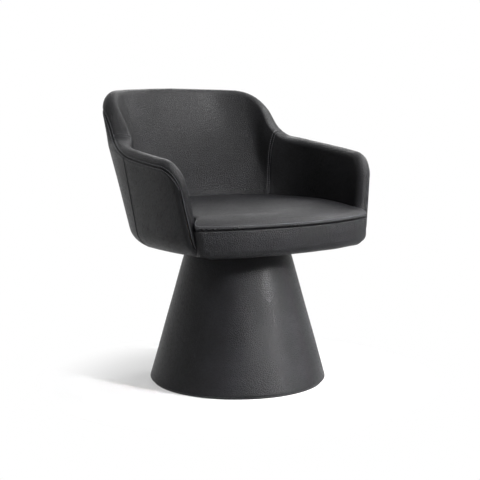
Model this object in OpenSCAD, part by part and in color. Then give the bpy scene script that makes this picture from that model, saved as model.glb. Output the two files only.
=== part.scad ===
// Pedestal swivel armchair: a padded barrel tub on a leather covered cone, turning on a ball race.
// The origin lies on the floor on the turning axis, +Z is up, and the sitter faces -Y.
// Right and left are the sitter's own: the right arm lies towards -X.

/* [Overall] */
// Height of the back at its middle, measured at the outer skin below the padded crest
back_h = 790; // [780:1:800]
// Height of the underside of the tub
shell_z = 383; // [380:1:385]
// Height of the stitched seam along the front edge of the seat
seat_seam_h = 453; // [450:1:458]
// Height of the seat where it meets the back
seat_back_h = 492; // [487:1:497]

/* [Tub plan] */
// Height at which the plan sizes below are measured
plan_h = 600; // [590:1:610]
// Distance of the widest line of the tub in front of the turning axis
plan_set = 53; // [45:1:60]
// Half width of the tub
plan_half_w = 334; // [325:1:345]
// Depth of the back half of the plan, from the widest line
plan_back = 348; // [340:1:355]
// Depth of the front half of the plan, were it closed
plan_front = 338; // [330:1:350]
// Distance of the arm fronts in front of the turning axis
arm_reach = 194; // [188:1:200]
// Squareness of the back half of the plan, 2 being an ellipse
back_square = 2.7; // [2.5:0.05:2.9]
// Squareness of the front half of the plan
front_square = 2.6; // [2.4:0.05:2.8]
// Sideways lean of the sides for each unit of height
side_lean_share = 0.154; // [0.12:0.002:0.18]
// Backward lean of the back for each unit of height
back_lean_share = 0.431; // [0.38:0.001:0.46]
// Backward lean of the arm fronts for each unit of height
front_lean_share = 0.133; // [0.1:0.001:0.16]

/* [Tub edge] */
// Distance of the shoulder corner from the middle of the back, along the tub
shoulder_x = 261; // [250:1:268]
// Height of the shoulder corner
shoulder_h = 784; // [778:1:790]
// Radius of the shoulder
shoulder_r = 126; // [110:1:130]
// Distance of the notch corner from the middle of the back, along the tub
notch_x = 331; // [325:1:342]
// Height of the notch corner between back and arm
notch_h = 661; // [652:1:668]
// Radius of the notch
notch_r = 86; // [70:1:95]
// Height of the corner at the front of the arm
arm_h = 615; // [608:1:622]
// Radius of the front corner of the arm
arm_r = 70; // [60:1:76]
// Radius of the curl under the tub
curl_r = 46; // [42:1:48]
// Distance of the foot of the seams between back and arms from the middle of the back
seam_foot_x = 284; // [276:1:292]
// Distance of the foot of the outer rear seams from the middle of the back
rear_seam_x = 455; // [445:1:465]

/* [Layers] */
// Thickness of the finished tub wall
tub_t = 42; // [40:0.5:44]
// Thickness of the leather
leather_t = 2; // [1.6:0.1:2.2]
// Thickness of the bent plywood shell
core_t = 10; // [9:0.5:10]
// Distance that the shell sits outwards of the middle of the wall
core_shift = 7; // [6.5:0.5:7]
// Distance from the edge of the wall to the edge of the shell
core_inset = 16; // [15:0.5:18]
// Length of leather from the crest of the edge to the outer seam
seam_drop = 30; // [27:0.5:34]
// The same length at the front of the arm
seam_drop_front = 15; // [13:0.5:18]
// Thickness of the foam behind the front band of the seat
front_foam_t = 11; // [9:0.5:12]
// Thickness of the wadding outside the shell
wadding_t = 3; // [2:0.5:3]
// Width of the leather lip under the tub
lip_w = 16; // [12:1:20]

/* [Seat] */
// Distance of the front of the seat in front of the turning axis
seat_reach = 284; // [278:1:292]
// Distance of each end of the front curve from the outside of the arm
seat_tuck = 24; // [22:0.5:28]
// Distance of the ends of the front curve in front of the arm fronts
band_set = 7; // [6:0.5:9]
// Radius of the lower edge of the front band
band_curl = 25; // [22:1:28]
// Width of the rounded edge of the seat at the front
seat_edge_w = 58; // [45:1:70]
// Crown of the seat above its height at the back
seat_crown = 4; // [2:0.5:6]
// Fall of the seat from its back to its front edge
seat_fall = 13; // [10:1:16]
// Thickness of the seat board
board_t = 18; // [15:1:18]
// Height of the seat frame
rail_h = 34; // [30:1:36]
// Width of the rails of the seat frame
rail_w = 42; // [36:1:46]
// Width of a webbing strap
strap_w = 56; // [48:1:58]
// Distance between the middles of neighbouring straps
strap_pitch = 74; // [72:1:78]
// Thickness of a strap
strap_t = 1.2; // [1:0.1:1.5]

/* [Pedestal] */
// Radius of the pedestal at its foot
foot_r = 245; // [235:1:255]
// Radius of the pedestal at its top
neck_r = 140; // [138:1:146]
// Rounding at the foot and the top of the cover
cover_round = 5; // [4:0.5:6]
// Gap between the top of the pedestal and the underside of the tub
neck_gap = 5; // [4:0.5:7]
// Thickness of the hidden floor pad
pad_t = 5; // [4:0.5:6]
// Distance that the floor pad lies inside the foot
pad_set = 9; // [7:0.5:12]
// Thickness of the foam under the pedestal cover
sleeve_t = 5; // [4:0.5:6]
// Thickness of the bent pedestal skin
skin_t = 4; // [3:0.5:5]
// Thickness of the boards at the foot and the top
plate_t = 18; // [15:1:18]
// Thickness of the crossed ribs
rib_t = 15; // [12:1:18]
// Radius of the steel ballast plate
ballast_r = 180; // [160:5:190]
// Thickness of the steel ballast plate
ballast_t = 8; // [6:1:10]

/* [Swivel] */
// Overall height of the swivel
swivel_h = 14; // [13:0.5:15]
// Thickness of the two swivel plates
swivel_t = 3; // [2.5:0.5:3]
// Width of the square lower plate
lower_w = 176; // [170:1:178]
// Radius of the round upper plate
upper_r = 105; // [102:1:108]
// Radius of the circle of balls
race_r = 66; // [62:1:68]
// Diameter of a ball
ball_d = 9; // [8:0.5:9]
// Number of balls
ball_count = 24; // [18:1:28]
// Spacing of the bolts of the lower plate
lower_pitch = 150; // [148:1:152]
// Spacing of the bolts of the upper plate
upper_pitch = 124; // [120:1:126]
// Diameter of the swivel bolts
bolt_d = 8; // [7:0.5:8]
// Radius of the hollow rivet in the middle
rivet_r = 12; // [10:0.5:14]

/* [Hidden] */
$fn = 64;

// Clearance between pieces that seat on each other, between layers, and round a screw
fit_gap = 0.4;
core_gap = 2;
layer_gap = 2;
foam_gap = 1.4;
seat_gap = 3;
screw_gap = 0.2;
// Overrun of every cut
over = 1;
// Step along the height and share of the way round for taking the slope of the tub surface
probe = 0.5;
probe_share = 0.001;
// Colours
charcoal = "#2b2b2d";
soft_black = "#232325";
foam_cream = "#e3d9b8";
wadding_white = "#e9e7e1";
birch = "#d8b98a";
steel = "#a9acb0";
dark_steel = "#55585c";
webbing_tan = "#8a6f4d";
nylon = "#dcdcd6";

// Levels
board_z = shell_z + leather_t + fit_gap;
ring_z = board_z + board_t;
deck_z = ring_z + rail_h;
strap_gap = fit_gap / 2;
foam_z = deck_z + 2 * strap_t + 3 * strap_gap + fit_gap;
foot_z = deck_z + fit_gap;
swivel_z = board_z - swivel_h;
neck_z = shell_z - neck_gap;
floor_board_z = pad_t + leather_t;
strip_lift = 12;
strip_z = shell_z + strip_lift;
crest = tub_t / 2;
quarter = crest * PI / 2;

// Small sums
function mix(a, b, k) = a + (b - a) * k;
function unit(v) = v / norm(v);
function left(v) = [-v.y, v.x];
function turned(v, a) = [v.x * cos(a) - v.y * sin(a), v.x * sin(a) + v.y * cos(a)];
function ray(a) = [cos(a), sin(a)];
function flat(v) = [v.x, v.y];
function lifted(v, z) = [v.x, v.y, z];

// The plan of the tub at height z is a superellipse whose half axes grow with the height.
// The share u runs from -1 at the right arm front over 0 at the back to 1 at the left arm front.
function plan_a(z) = plan_half_w + side_lean_share * (z - plan_h);
function plan_b(z) = plan_back + back_lean_share * (z - plan_h);
function front_y(z) = front_lean_share * (z - plan_h) - arm_reach;
function plan_x(q) = pow(1 - pow(q, front_square), 1 / front_square);
function end_angle(z) =
    let (q = (-plan_set - front_y(z)) / plan_front)
    atan2(plan_a(z) * plan_x(q), front_y(z) + plan_set);
function plan_radius(s, c, z) =
    let (b = c > 0 ? plan_b(z) : plan_front, e = c > 0 ? back_square : front_square)
    pow(pow(abs(s / plan_a(z)), e) + pow(abs(c / b), e), -1 / e);
function tub_at(u, z) =
    let (t = u * end_angle(z), r = plan_radius(sin(t), cos(t), z))
    [r * sin(t), r * cos(t) - plan_set, z];
function tub_normal(u, z) =
    let (v = min(max(u, probe_share - 1), 1 - probe_share),
        along = tub_at(v + probe_share, z) - tub_at(v - probe_share, z),
        up = tub_at(v, z + probe) - tub_at(v, z - probe))
    unit(cross(up, along));

// Distance along the tub at plan_h, looked up to find the share u
arc_steps = 72;
arc_pts = [for (i = [0:arc_steps]) tub_at(i / arc_steps, plan_h)];
arc_lens = [for (i = 0, s = 0; i <= arc_steps;
    i = i + 1, s = s + (i <= arc_steps ? norm(arc_pts[i] - arc_pts[i - 1]) : 0)) s];
arc_table = [for (i = [0:arc_steps]) [arc_lens[i], i / arc_steps]];
sheet_l = arc_lens[arc_steps];

// A point of the unrolled tub at distance x from the middle of the back and height z, moved outwards
// by off from the outer surface, and inwards by a curl of radius r turned through the angle curl
function sheet(x, z, off, r = 0, curl = 0) =
    let (u = sign(x) * lookup(abs(x), arc_table), n = tub_normal(u, z))
    tub_at(u, z) + off * [n.x, n.y, n.z * cos(curl)] - r * (1 - cos(curl)) * unit([n.x, n.y, 0]);

// The same in plan, level and at distance off inside the outer surface
function inside(x, z, off) =
    let (u = sign(x) * lookup(abs(x), arc_table), n = flat(tub_normal(u, z)))
    flat(tub_at(u, z)) - off * n / (n * n);

// The edge of the unrolled tub: straight legs between rounded corners, from the middle of the back
// over shoulder, notch and arm to the foot of the arm front
edge = [[0, back_h], [shoulder_x, shoulder_h], [notch_x, notch_h], [sheet_l, arm_h],
    [sheet_l, foot_z], [sheet_l, strip_z]];
edge_r = [0, shoulder_r, notch_r, arm_r, 0, 0];
leg_steps = [5, 2, 5, 3, 3];
corner_steps = [0, 6, 4, 6, 0];
function way(i) = unit(edge[i + 1] - edge[i]);
function bend(i) = let (a = way(i - 1), b = way(i)) atan2(a.x * b.y - a.y * b.x, a * b);
function setback(i) = edge_r[i] == 0 ? 0 : edge_r[i] * tan(abs(bend(i)) / 2);
function corner_centre(i) =
    edge[i] - way(i - 1) * setback(i) + sign(bend(i)) * edge_r[i] * left(way(i - 1));
function leg(i) =
    let (a = edge[i] + way(i) * setback(i), b = edge[i + 1] - way(i) * setback(i + 1))
    [for (k = [0:leg_steps[i] - 1]) [mix(a, b, k / leg_steps[i]), left(way(i))]];
function corner(i) =
    let (side = sign(bend(i)) * edge_r[i])
    [for (k = 0; k < corner_steps[i]; k = k + 1)
        let (n = turned(left(way(i - 1)), bend(i) * k / corner_steps[i]))
        [corner_centre(i) - side * n, n]];
edge_path = concat(leg(0), corner(1), leg(1), corner(2), leg(2), corner(3), leg(3), leg(4),
    [[edge[5], left(way(4))]]);
// Places along that path: the seam at the notch, the end of the top, the foot level and the end
notch_i = leg_steps[0] + corner_steps[1] + leg_steps[1] + corner_steps[2] / 2;
rear_i = notch_i + corner_steps[2] / 2 + 2;
corner_i = notch_i + corner_steps[2] / 2 + leg_steps[2];
front_i = corner_i + corner_steps[3];
foot_i = front_i + leg_steps[3];
end_i = foot_i + leg_steps[4];

// Length of the lining from the crest to the outer seam, eased round the front corner
function drop(i) = mix(seam_drop, seam_drop_front, min(max((i - corner_i) / corner_steps[3], 0), 1));
// Middle line of the rounded edge
function spine(i) = edge_path[i][0] - crest * edge_path[i][1];
function spine_n(i) = edge_path[i][1];

// Angle through which the outer surface has curled under the tub at height z
function curl_angle(z) = asin(min(max((shell_z + curl_r - z) / curl_r, 0), 1));

// Closed solid between two grids of points with the same rows and columns. The squares before row
// turn_i or column turn_j are split the other way, so that the two halves of the tub are alike.
module slab(face, back, turn_i = 0, turn_j = 0) {
    rows = len(face);
    cols = len(face[0]);
    n = rows * cols;
    function id(i, j) = i * cols + j;
    quads = [for (i = [0:rows - 2], j = [0:cols - 2])
        [id(i, j), id(i, j + 1), id(i + 1, j + 1), id(i + 1, j)]];
    border = concat(
        [for (j = [0:cols - 2]) [id(0, j + 1), id(0, j)]],
        [for (i = [0:rows - 2]) [id(i + 1, cols - 1), id(i, cols - 1)]],
        [for (j = [0:cols - 2]) [id(rows - 1, j), id(rows - 1, j + 1)]],
        [for (i = [0:rows - 2]) [id(i, 0), id(i + 1, 0)]]);
    function first(q) = floor(q[0] / cols) < turn_i || q[0] % cols < turn_j ? 1 : 0;
    function half(q, k) = let (f = first(q) + k) [q[f % 4], q[(f + 1) % 4], q[(f + 2) % 4]];
    polyhedron(
        points = concat([for (r = face) each r], [for (r = back) each r]),
        faces = concat(
            [for (q = quads, k = [0, 2]) half(q, k)],
            [for (q = quads, k = [0, 2]) let (h = half(q, k)) [n + h[2], n + h[1], n + h[0]]],
            [for (e = border) each [[e[0], e[1], n + e[1]], [e[0], n + e[1], n + e[0]]]]));
}

// Closed solid through loops of points, with flat ends, or joined end to end as a ring
module loft(loops, ring = false) {
    n = len(loops[0]);
    m = len(loops);
    function id(i, j) = (i % m) * n + j % n;
    polyhedron(
        points = [for (l = loops) each l],
        faces = concat(
            [for (i = [0:ring ? m - 1 : m - 2], j = [0:n - 1])
                each [[id(i, j), id(i, j + 1), id(i + 1, j + 1)],
                    [id(i, j), id(i + 1, j + 1), id(i + 1, j)]]],
            ring ? [] : [[for (j = [n - 1:-1:0]) id(0, j)], [for (j = [0:n - 1]) id(m - 1, j)]]));
}

// Linings and the foam under them follow the edge: rows run up the inside, over the crest and
// down to the outer seam. Each line of points has a foot on the hidden border of its piece.
inside_rows = 3;
crest_rows = 7;
crest_rows_coarse = 4;
strip_w = 43;
function lining_rows(steps) = concat(
    [for (k = [0:inside_rows - 1]) [1 - k / inside_rows, 0]], [for (k = [0:steps]) [0, k / steps]]);
function arm_foot(i) = i > foot_i
    ? [sheet_l - strip_w, spine(i).y]
    : [mix(seam_foot_x, sheet_l - strip_w, (i - notch_i) / (foot_i - notch_i)), foot_z];
function back_foot(i) = [spine(i).x * seam_foot_x / spine(notch_i).x, foot_z];
// Point at the share k of a line's way to its foot: it bends towards the foot first, then drops
seam_bend = 3;
function on_line(top, foot, k) = [mix(foot.x, top.x, pow(1 - k, seam_bend)), mix(top.y, foot.y, k)];
// Share of the curl under the tub that a point of the rounded arm front takes, by its angle
front_seam_a = seam_drop_front / crest * 180 / PI;
function curl_share(a) = min((1 + sin(a)) / (1 + sin(front_seam_a)), 1);
// Point of a lining layer of half thickness r about a middle line moved outwards by shift.
// A boxed layer has square corners, to clear the square edge of the shell.
function lining_pt(i, foot, row, r, shift, boxed, side, slip) =
    let (s = row[1] * (quarter + drop(i) - fit_gap / 2) - quarter,
        a = row[0] > 0 ? -90 : min(s / crest * 180 / PI, 90),
        e = max(s - quarter, 0),
        q = boxed ? r / max(abs(cos(a)), abs(sin(a))) : r,
        p = row[0] > 0 ? on_line(spine(i), foot, row[0])
            : spine(i) + (q * cos(a) - e) * spine_n(i))
    sheet(side * (p.x + slip), p.y, shift + q * sin(a) - crest, curl_r * curl_share(a), curl_angle(p.y));
function slip_at(i, last, gap) = i == last ? gap : 0;
function back_grid(steps, r, shift, boxed, slip) =
    [for (row = lining_rows(steps)) concat(
        [for (i = [notch_i:-1:1])
            lining_pt(i, back_foot(i), row, r, shift, boxed, -1, slip_at(i, notch_i, -slip))],
        [for (i = [0:notch_i])
            lining_pt(i, back_foot(i), row, r, shift, boxed, 1, slip_at(i, notch_i, -slip))])];
function arm_grid(steps, r, shift, boxed, slip, last) =
    [for (row = lining_rows(steps))
        [for (i = [notch_i:last])
            lining_pt(i, arm_foot(i), row, r, shift, boxed, 1, slip_at(i, notch_i, slip))]];

lining_r = crest - leather_t;
foam_r = lining_r - foam_gap;
hollow_r = core_t / 2 + core_gap;

module back_lining() {
    function grid(r) = back_grid(crest_rows, r, 0, false, fit_gap / 2);
    color(charcoal) slab(grid(lining_r), grid(crest), turn_j = notch_i);
}
module left_arm_lining() {
    function grid(r) = arm_grid(crest_rows, r, 0, false, fit_gap / 2, end_i);
    color(charcoal) slab(grid(lining_r), grid(crest));
}
module right_arm_lining() {
    mirror([1, 0, 0]) left_arm_lining();
}
module back_foam() {
    function grid(r, shift, boxed) = back_grid(crest_rows_coarse, r, shift, boxed, foam_gap);
    color(foam_cream) slab(grid(hollow_r, core_shift, true), grid(foam_r, 0, false), turn_j = notch_i);
}
module left_arm_foam() {
    function grid(r, shift, boxed) = arm_grid(crest_rows_coarse, r, shift, boxed, foam_gap, foot_i);
    color(foam_cream) slab(grid(hollow_r, core_shift, true), grid(foam_r, 0, false));
}
module right_arm_foam() {
    mirror([1, 0, 0]) left_arm_foam();
}

// The bent plywood shell stands between straight columns under the inset edge
shell_rows = 3;
shell_foot_z = shell_z + 28;
shell_knee_z = shell_z + curl_r;
function shell_col(i, side, off, low_off) =
    let (p = edge_path[i][0] - core_inset * edge_path[i][1])
    concat([sheet(side * p.x, shell_foot_z, low_off)],
        [for (k = [0:shell_rows]) sheet(side * p.x, mix(shell_knee_z, p.y, k / shell_rows), off)]);
function shell_cols(off, low_off) = concat(
    [for (i = [front_i:-1:1]) shell_col(i, -1, off, low_off)],
    [for (i = [0:front_i]) shell_col(i, 1, off, low_off)]);
module tub_shell() {
    color(birch) slab(
        shell_cols(core_shift - crest - core_t / 2, core_shift - crest - core_t / 2),
        shell_cols(core_shift - crest + core_t / 2, core_shift - crest), turn_i = front_i - 1);
}

// Outside panels and the wadding under them: columns that start at the outer seam, run down to the
// curl and turn under the tub in a lip that narrows towards the arm fronts
curl_steps = 4;
lip_front_w = 2;
wall_rows = 3;
arm_centre = corner_centre(3);
// How far a point of the unrolled tub lies round the front edge: the way out and the angle
function rounding(p) =
    let (c = arm_centre, v = p - c, near = p.x > c.x && p.y > c.y,
        gap = near ? arm_r - norm(v) : sheet_l - p.x)
    [near ? unit(v) : [1, 0], acos(min(max(1 - gap / crest, 0), 1))];
function panel_pt(x, z, curl, depth, side, lip = 0) =
    let (r = rounding([x, z]), n = r[0], a = r[1], out = depth * cos(a),
        drop_z = curl > 0 ? shell_z + curl_r - (curl_r - depth) * sin(curl) : z - out * n.y)
    sheet(side * (x - out * n.x), drop_z, (crest - depth) * sin(a) - crest - lip, curl_r - depth, curl);
function seam_pt(i, gap) =
    let (s = drop(i) + gap, a = min(s / crest * 180 / PI, 90), e = max(s - quarter, 0))
    spine(i) + (crest * cos(a) - e) * spine_n(i);
// The outer rear seam leans: its foot lies nearer to the middle of the back
function rear_foot(x) =
    let (s = seam_pt(rear_i, 0).x)
    x < s ? x * rear_seam_x / s : sheet_l - (sheet_l - x) * (sheet_l - rear_seam_x) / (sheet_l - s);
function panel_col(i, depth, side, slip, gap = fit_gap, low = 0) =
    let (p = seam_pt(i, gap), z1 = shell_z + curl_r,
        lip = mix(lip_w, lip_front_w, min(max((i - corner_i) / corner_steps[3], 0), 1)))
    concat(
        low == 0 ? [panel_pt(rear_foot(p.x) + slip, shell_z, 90, depth, side, lip)] : [],
        [for (k = [low:curl_steps - 1]) let (c = 90 * (1 - k / curl_steps), z = z1 - curl_r * sin(c))
            panel_pt(mix(rear_foot(p.x), p.x, (z - shell_z) / (p.y - shell_z)) + slip, z, c, depth, side)],
        [for (k = [0:wall_rows]) let (z = mix(z1, p.y, k / wall_rows))
            panel_pt(mix(rear_foot(p.x), p.x, (z - shell_z) / (p.y - shell_z)) + slip, z, 0, depth, side)]);
module back_panel() {
    function cols(depth) = concat(
        [for (i = [rear_i:-1:1]) panel_col(i, depth, -1, slip_at(i, rear_i, -fit_gap / 2))],
        [for (i = [0:rear_i]) panel_col(i, depth, 1, slip_at(i, rear_i, -fit_gap / 2))]);
    color(charcoal) slab(cols(leather_t), cols(0), turn_i = rear_i);
}
module left_panel() {
    function cols(depth) =
        [for (i = [rear_i:front_i]) panel_col(i, depth, 1, slip_at(i, rear_i, fit_gap / 2))];
    color(charcoal) slab(cols(leather_t), cols(0));
}
module right_panel() {
    mirror([1, 0, 0]) left_panel();
}
wadding_set = 8;
module outer_wadding() {
    top = leather_t + layer_gap;
    function cols(depth) = concat(
        [for (i = [front_i:-1:1]) panel_col(i, depth, -1, 0, wadding_set, 1)],
        [for (i = [0:front_i]) panel_col(i, depth, 1, 0, wadding_set, 1)]);
    color(wadding_white) slab(cols(top + wadding_t), cols(top), turn_i = front_i);
}

// Outline of the seat at height z: along the inside of the tub at distance off from its outer
// surface, ending set short of the arm fronts, then along the front curve moved in by inset
side_steps = 14;
front_steps = 14;
front_bow = 2.15;
side_ease = 0.9;
function front_end(z) = let (p = tub_at(1, z)) [p.x - seat_tuck, p.y - band_set];
function front_pt(t, z, inset) =
    let (e = front_end(z), rise = e.y + seat_reach,
        slope = rise * front_bow * pow(abs(t), front_bow - 1) * sign(t),
        n = unit([slope, -e.x]))
    [e.x * t, rise * pow(abs(t), front_bow) - seat_reach] - inset * n;
function side_share(k) = let (q = k / side_steps) sign(q) * pow(abs(q), side_ease);
function seat_loop(z, off, set, inset, keep = 1) = concat(
    [for (k = [-side_steps:side_steps]) inside(side_share(k) * (sheet_l - set), z, off)],
    [for (k = [0:front_steps]) front_pt(keep * (1 - 2 * k / front_steps), z, inset)]);
side_count = 2 * side_steps + 1;
// Outline of the seat frame, moved in by d, with a nook at each end for the padding of the arm front
function nook(side, z, d) = inside(side * (sheet_l - corner_set - d), z, tub_t + layer_gap + d);
function frame_outline(z, d) =
    let (loop = seat_loop(z, frame_off + d, corner_set + d, foam_set + d, front_keep_share))
    concat([nook(-1, z, d)], [for (k = [0:side_count - 1]) loop[k]], [nook(1, z, d)],
        [for (k = [side_count:len(loop) - 1]) loop[k]]);
function at_height(loop, z) = [for (p = loop) lifted(p, z)];

// Boards and rails under the seat
corner_set = strip_w + 2 * fit_gap;
front_keep_share = 0.95;
board_off = curl_r + fit_gap;
frame_gap = 1.7;
frame_off = crest - core_shift + core_t / 2 + frame_gap;
foam_set = leather_t + 2 * fit_gap + front_foam_t;
low_keep_share = 0.9;
board_loop = seat_loop(board_z, board_off, corner_set, band_curl + fit_gap, low_keep_share);
screw_d = 5;
screw_head_d = 9.5;
screw_head_t = 3;
screw_into = 16;
screw_seats = 12;
// Places of the screws that hold the seat frame, above the border of the board
screw_set = 8;
frame_loop = seat_loop(board_z, board_off + screw_set, corner_set + rail_w / 2, foam_set + rail_w / 2,
    front_keep_share);
frame_spots = [for (k = [0:screw_seats - 1])
    frame_loop[round((k + 1 / 2) * len(frame_loop) / screw_seats) % len(frame_loop)]];
module square_spots(pitch) {
    for (x = [-1, 1], y = [-1, 1]) translate([x * pitch / 2, y * pitch / 2, 0]) children();
}
vent_r = 38;
vent_reach = 150;
nut_d = bolt_d + 2;
nut_h = 14;
nut_flange_r = bolt_d;
nut_flange_t = 1.5;
module seat_board() {
    color(birch) difference() {
        translate([0, 0, board_z]) linear_extrude(board_t) polygon(board_loop);
        translate([0, 0, board_z - over]) {
            square_spots(upper_pitch) cylinder(d = nut_d + 2 * screw_gap, h = board_t + 2 * over);
            for (a = [0:90:270]) rotate(a) translate([vent_reach, 0, 0])
                cylinder(r = vent_r, h = board_t + 2 * over);
            cylinder(r = rivet_r + rivet_lip + screw_gap, h = rivet_wall + 2 * rivet_gap + over);
            for (p = frame_spots) translate(p) screw_seat(board_t);
        }
    }
}
module seat_frame() {
    function ring_at(d, z) = at_height(frame_outline(z, d), z);
    color(birch) difference() {
        loft([ring_at(0, deck_z), ring_at(rail_w, deck_z), ring_at(rail_w, ring_z), ring_at(0, ring_z)],
            ring = true);
        for (p = frame_spots) translate([p.x, p.y, ring_z - over])
            cylinder(d = screw_d + screw_gap, h = screw_into + over + fit_gap, $fn = 24);
    }
}
module frame_screws() {
    color(steel) for (p = frame_spots) translate([p.x, p.y, board_z]) union() {
        cylinder(d = screw_head_d, h = screw_head_t - screw_gap, $fn = 24);
        cylinder(d = screw_d, h = board_t + screw_into, $fn = 24);
    }
}

// Woven webbing: each strap is flat over every crossing and steps up or down between crossings
strap_rest = 22;
inner_off = frame_off + rail_w - strap_rest;
half_loop = concat([for (k = [0:side_steps])
    inside(side_share(k) * (sheet_l - corner_set - rail_w), deck_z, inner_off)],
    [nook(1, deck_z, rail_w - strap_rest)]);
wide_i = max([for (k = [0:side_steps]) if (half_loop[k].x >= max([for (p = half_loop) p.x]) - over) k]);
back_table = [for (k = [0:wide_i]) half_loop[k]];
side_table = [for (k = [side_steps + 1:-1:0]) [half_loop[k].y, half_loop[k].x]];
front_table = [for (k = [front_steps:-1:0]) front_pt(front_keep_share * (1 - 2 * k / front_steps), deck_z,
    foam_set + rail_w - strap_rest)];
long_count = 6;
cross_count = 5;
cross_mid_y = -20;
function long_x(i) = (i - (long_count - 1) / 2) * strap_pitch;
function cross_y(j) = cross_mid_y + (j - (cross_count - 1) / 2) * strap_pitch;
flat_gap = 3 * strap_t;
flat_half = strap_pitch / 2 - flat_gap;
function level(up) = deck_z + strap_gap + (up ? strap_t + strap_gap : 0);
module strap(ends, stops, ups, along_y, place) {
    met = [for (k = [0:len(stops) - 1])
        if (stops[k] + strap_w / 2 > ends[0] && stops[k] - strap_w / 2 < ends[1]) k];
    flats = [for (k = met) each [[max(stops[k] - flat_half, ends[0]), ups[k]],
        [min(stops[k] + flat_half, ends[1]), ups[k]]]];
    list = concat(flats[0][0] - ends[0] > flat_gap ? [[ends[0], false]] : [], flats,
        ends[1] - flats[len(flats) - 1][0] > flat_gap ? [[ends[1], false]] : []);
    function pt(s, w, z) = along_y ? [place + w, s, z] : [s, place + w, z];
    function rows(t) = [for (s = list) [for (w = [-1, 1])
        pt(s[0], w * strap_w / 2 * (along_y ? 1 : -1), level(s[1]) + t)]];
    slab(rows(0), rows(strap_t));
}
module long_straps() {
    color(webbing_tan) for (i = [0:long_count - 1]) let (x = long_x(i), edge_x = abs(x) + strap_w / 2)
        strap([lookup(edge_x, [for (k = [0:front_steps]) if (front_table[k].x >= 0) front_table[k]]),
            lookup(edge_x, back_table)],
            [for (j = [0:cross_count - 1]) cross_y(j)], [for (j = [0:cross_count - 1]) (i + j) % 2 == 0],
            true, x);
}
module cross_straps() {
    color(webbing_tan) for (j = [0:cross_count - 1])
        let (y = cross_y(j), half_w = strap_w / 2,
            x = min(lookup(y - half_w, side_table), lookup(y + half_w, side_table)))
        strap([-x, x], [for (i = [0:long_count - 1]) long_x(i)],
            [for (i = [0:long_count - 1]) (i + j) % 2 == 1], false, y);
}

// The seat: a crowned pad whose edge lies lower along the front, where the top is seamed to the band
seat_off = tub_t + seat_gap;
seat_set = 12;
seat_mid = [0, -plan_set / 2];
side_drop = 8;
side_edge_share = 0.08;
front_from_share = 0.72;
ring_shares = [0.985, 0.95, 0.9, 0.8, 0.6, 0.35, 0.1];
pull_h = 21;
front_pull_h = 7;
// How far a point of the outline is a front point: 1 on the front curve, easing to 0 behind it
function frontness(j) =
    j >= side_count ? 1
        : let (k = abs(j - side_steps) / side_steps)
            pow(max(0, (k - front_from_share) / (1 - front_from_share)), 2);
// Fall of the rim below the back, growing along the sides to its full size at the front
function fall(j) = seat_fall * pow(min(abs(j - side_steps) / side_steps, 1), 2);
function edge_level(j) = mix(seat_back_h - side_drop - fall(j), seat_seam_h, frontness(j));
function crown_at(j, share, lower) =
    let (reach = mix(side_edge_share, seat_edge_w / seat_reach, frontness(j)),
        q = min((1 - share) / reach, 1),
        top = seat_back_h + seat_crown * (1 - share * share) - fall(j) * share * share)
    mix(edge_level(j), top, sqrt(1 - (1 - q) * (1 - q))) - lower;
// Rim of the seat at the given levels along its sides, moved in by in, and along the front by pull
// more. Its ends turn round the arm fronts, so moving in brings their side points forwards and
// shortens the front curve
side_in_share = 0.5;
front_in_share = 0.75;
function seat_rim(in, pull, levels, z = seat_seam_h) =
    let (keep = 1 - (pull + in) / (front_end(z).x * front_in_share),
        reach = sheet_l - seat_set + in * side_in_share)
    concat(
        [for (j = [0:side_count - 1]) inside(side_share(j - side_steps) * reach, levels[j], seat_off + in)],
        [for (k = [0:front_steps]) front_pt(keep * (1 - 2 * k / front_steps), z, pull + in)]);
rim_count = side_count + front_steps + 1;
function levels(down, front_down) =
    [for (j = [0:rim_count - 1]) edge_level(j) - mix(down, front_down, frontness(j))];
function seat_ring(share, in, lower) =
    let (rim = seat_rim(in, 0, levels(0, 0)))
    [for (j = [0:rim_count - 1]) lifted(mix(seat_mid, rim[j], share), crown_at(j, share, lower))];
function flat_ring(share, in, z) =
    at_height([for (p = seat_rim(in, 0, levels(0, 0))) mix(seat_mid, p, share)], z);
function edge_ring(in, down, front_down, pull) =
    let (z = levels(down, front_down), rim = seat_rim(in, pull, z))
    [for (j = [0:rim_count - 1]) lifted(rim[j], z[j])];
cap_level = seat_back_h + seat_crown;
function rings(in, step) = [for (k = [0:step:len(ring_shares) - 2]) seat_ring(ring_shares[k], in, in)];
cap_share = ring_shares[len(ring_shares) - 1];
module seat_cover() {
    hem = leather_t + fit_gap;
    fold = fit_gap / 4;
    outside = rings(0, 1);
    color(charcoal) loft(concat(
        [flat_ring(cap_share, leather_t, cap_level - leather_t)],
        [for (k = [len(outside) - 1:-1:0]) rings(leather_t, 1)[k]],
        [edge_ring(leather_t, leather_t, leather_t, hem), edge_ring(leather_t, pull_h, front_pull_h, hem)],
        [edge_ring(0, pull_h, front_pull_h, hem), edge_ring(0, fold, fold, hem), edge_ring(0, 0, 0, 0)],
        outside,
        [flat_ring(cap_share, 0, cap_level)]));
}
module seat_foam() {
    in = leather_t + foam_gap;
    color(foam_cream) loft(concat(
        [at_height(seat_rim(in, foam_set - in, [for (j = [1:side_count]) foam_z], foam_z), foam_z)],
        [edge_ring(in, pull_h, front_pull_h + fit_gap, foam_set - in), edge_ring(in, in, in, in)],
        rings(in, 2),
        [flat_ring(cap_share, in, cap_level - in)]));
}

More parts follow.
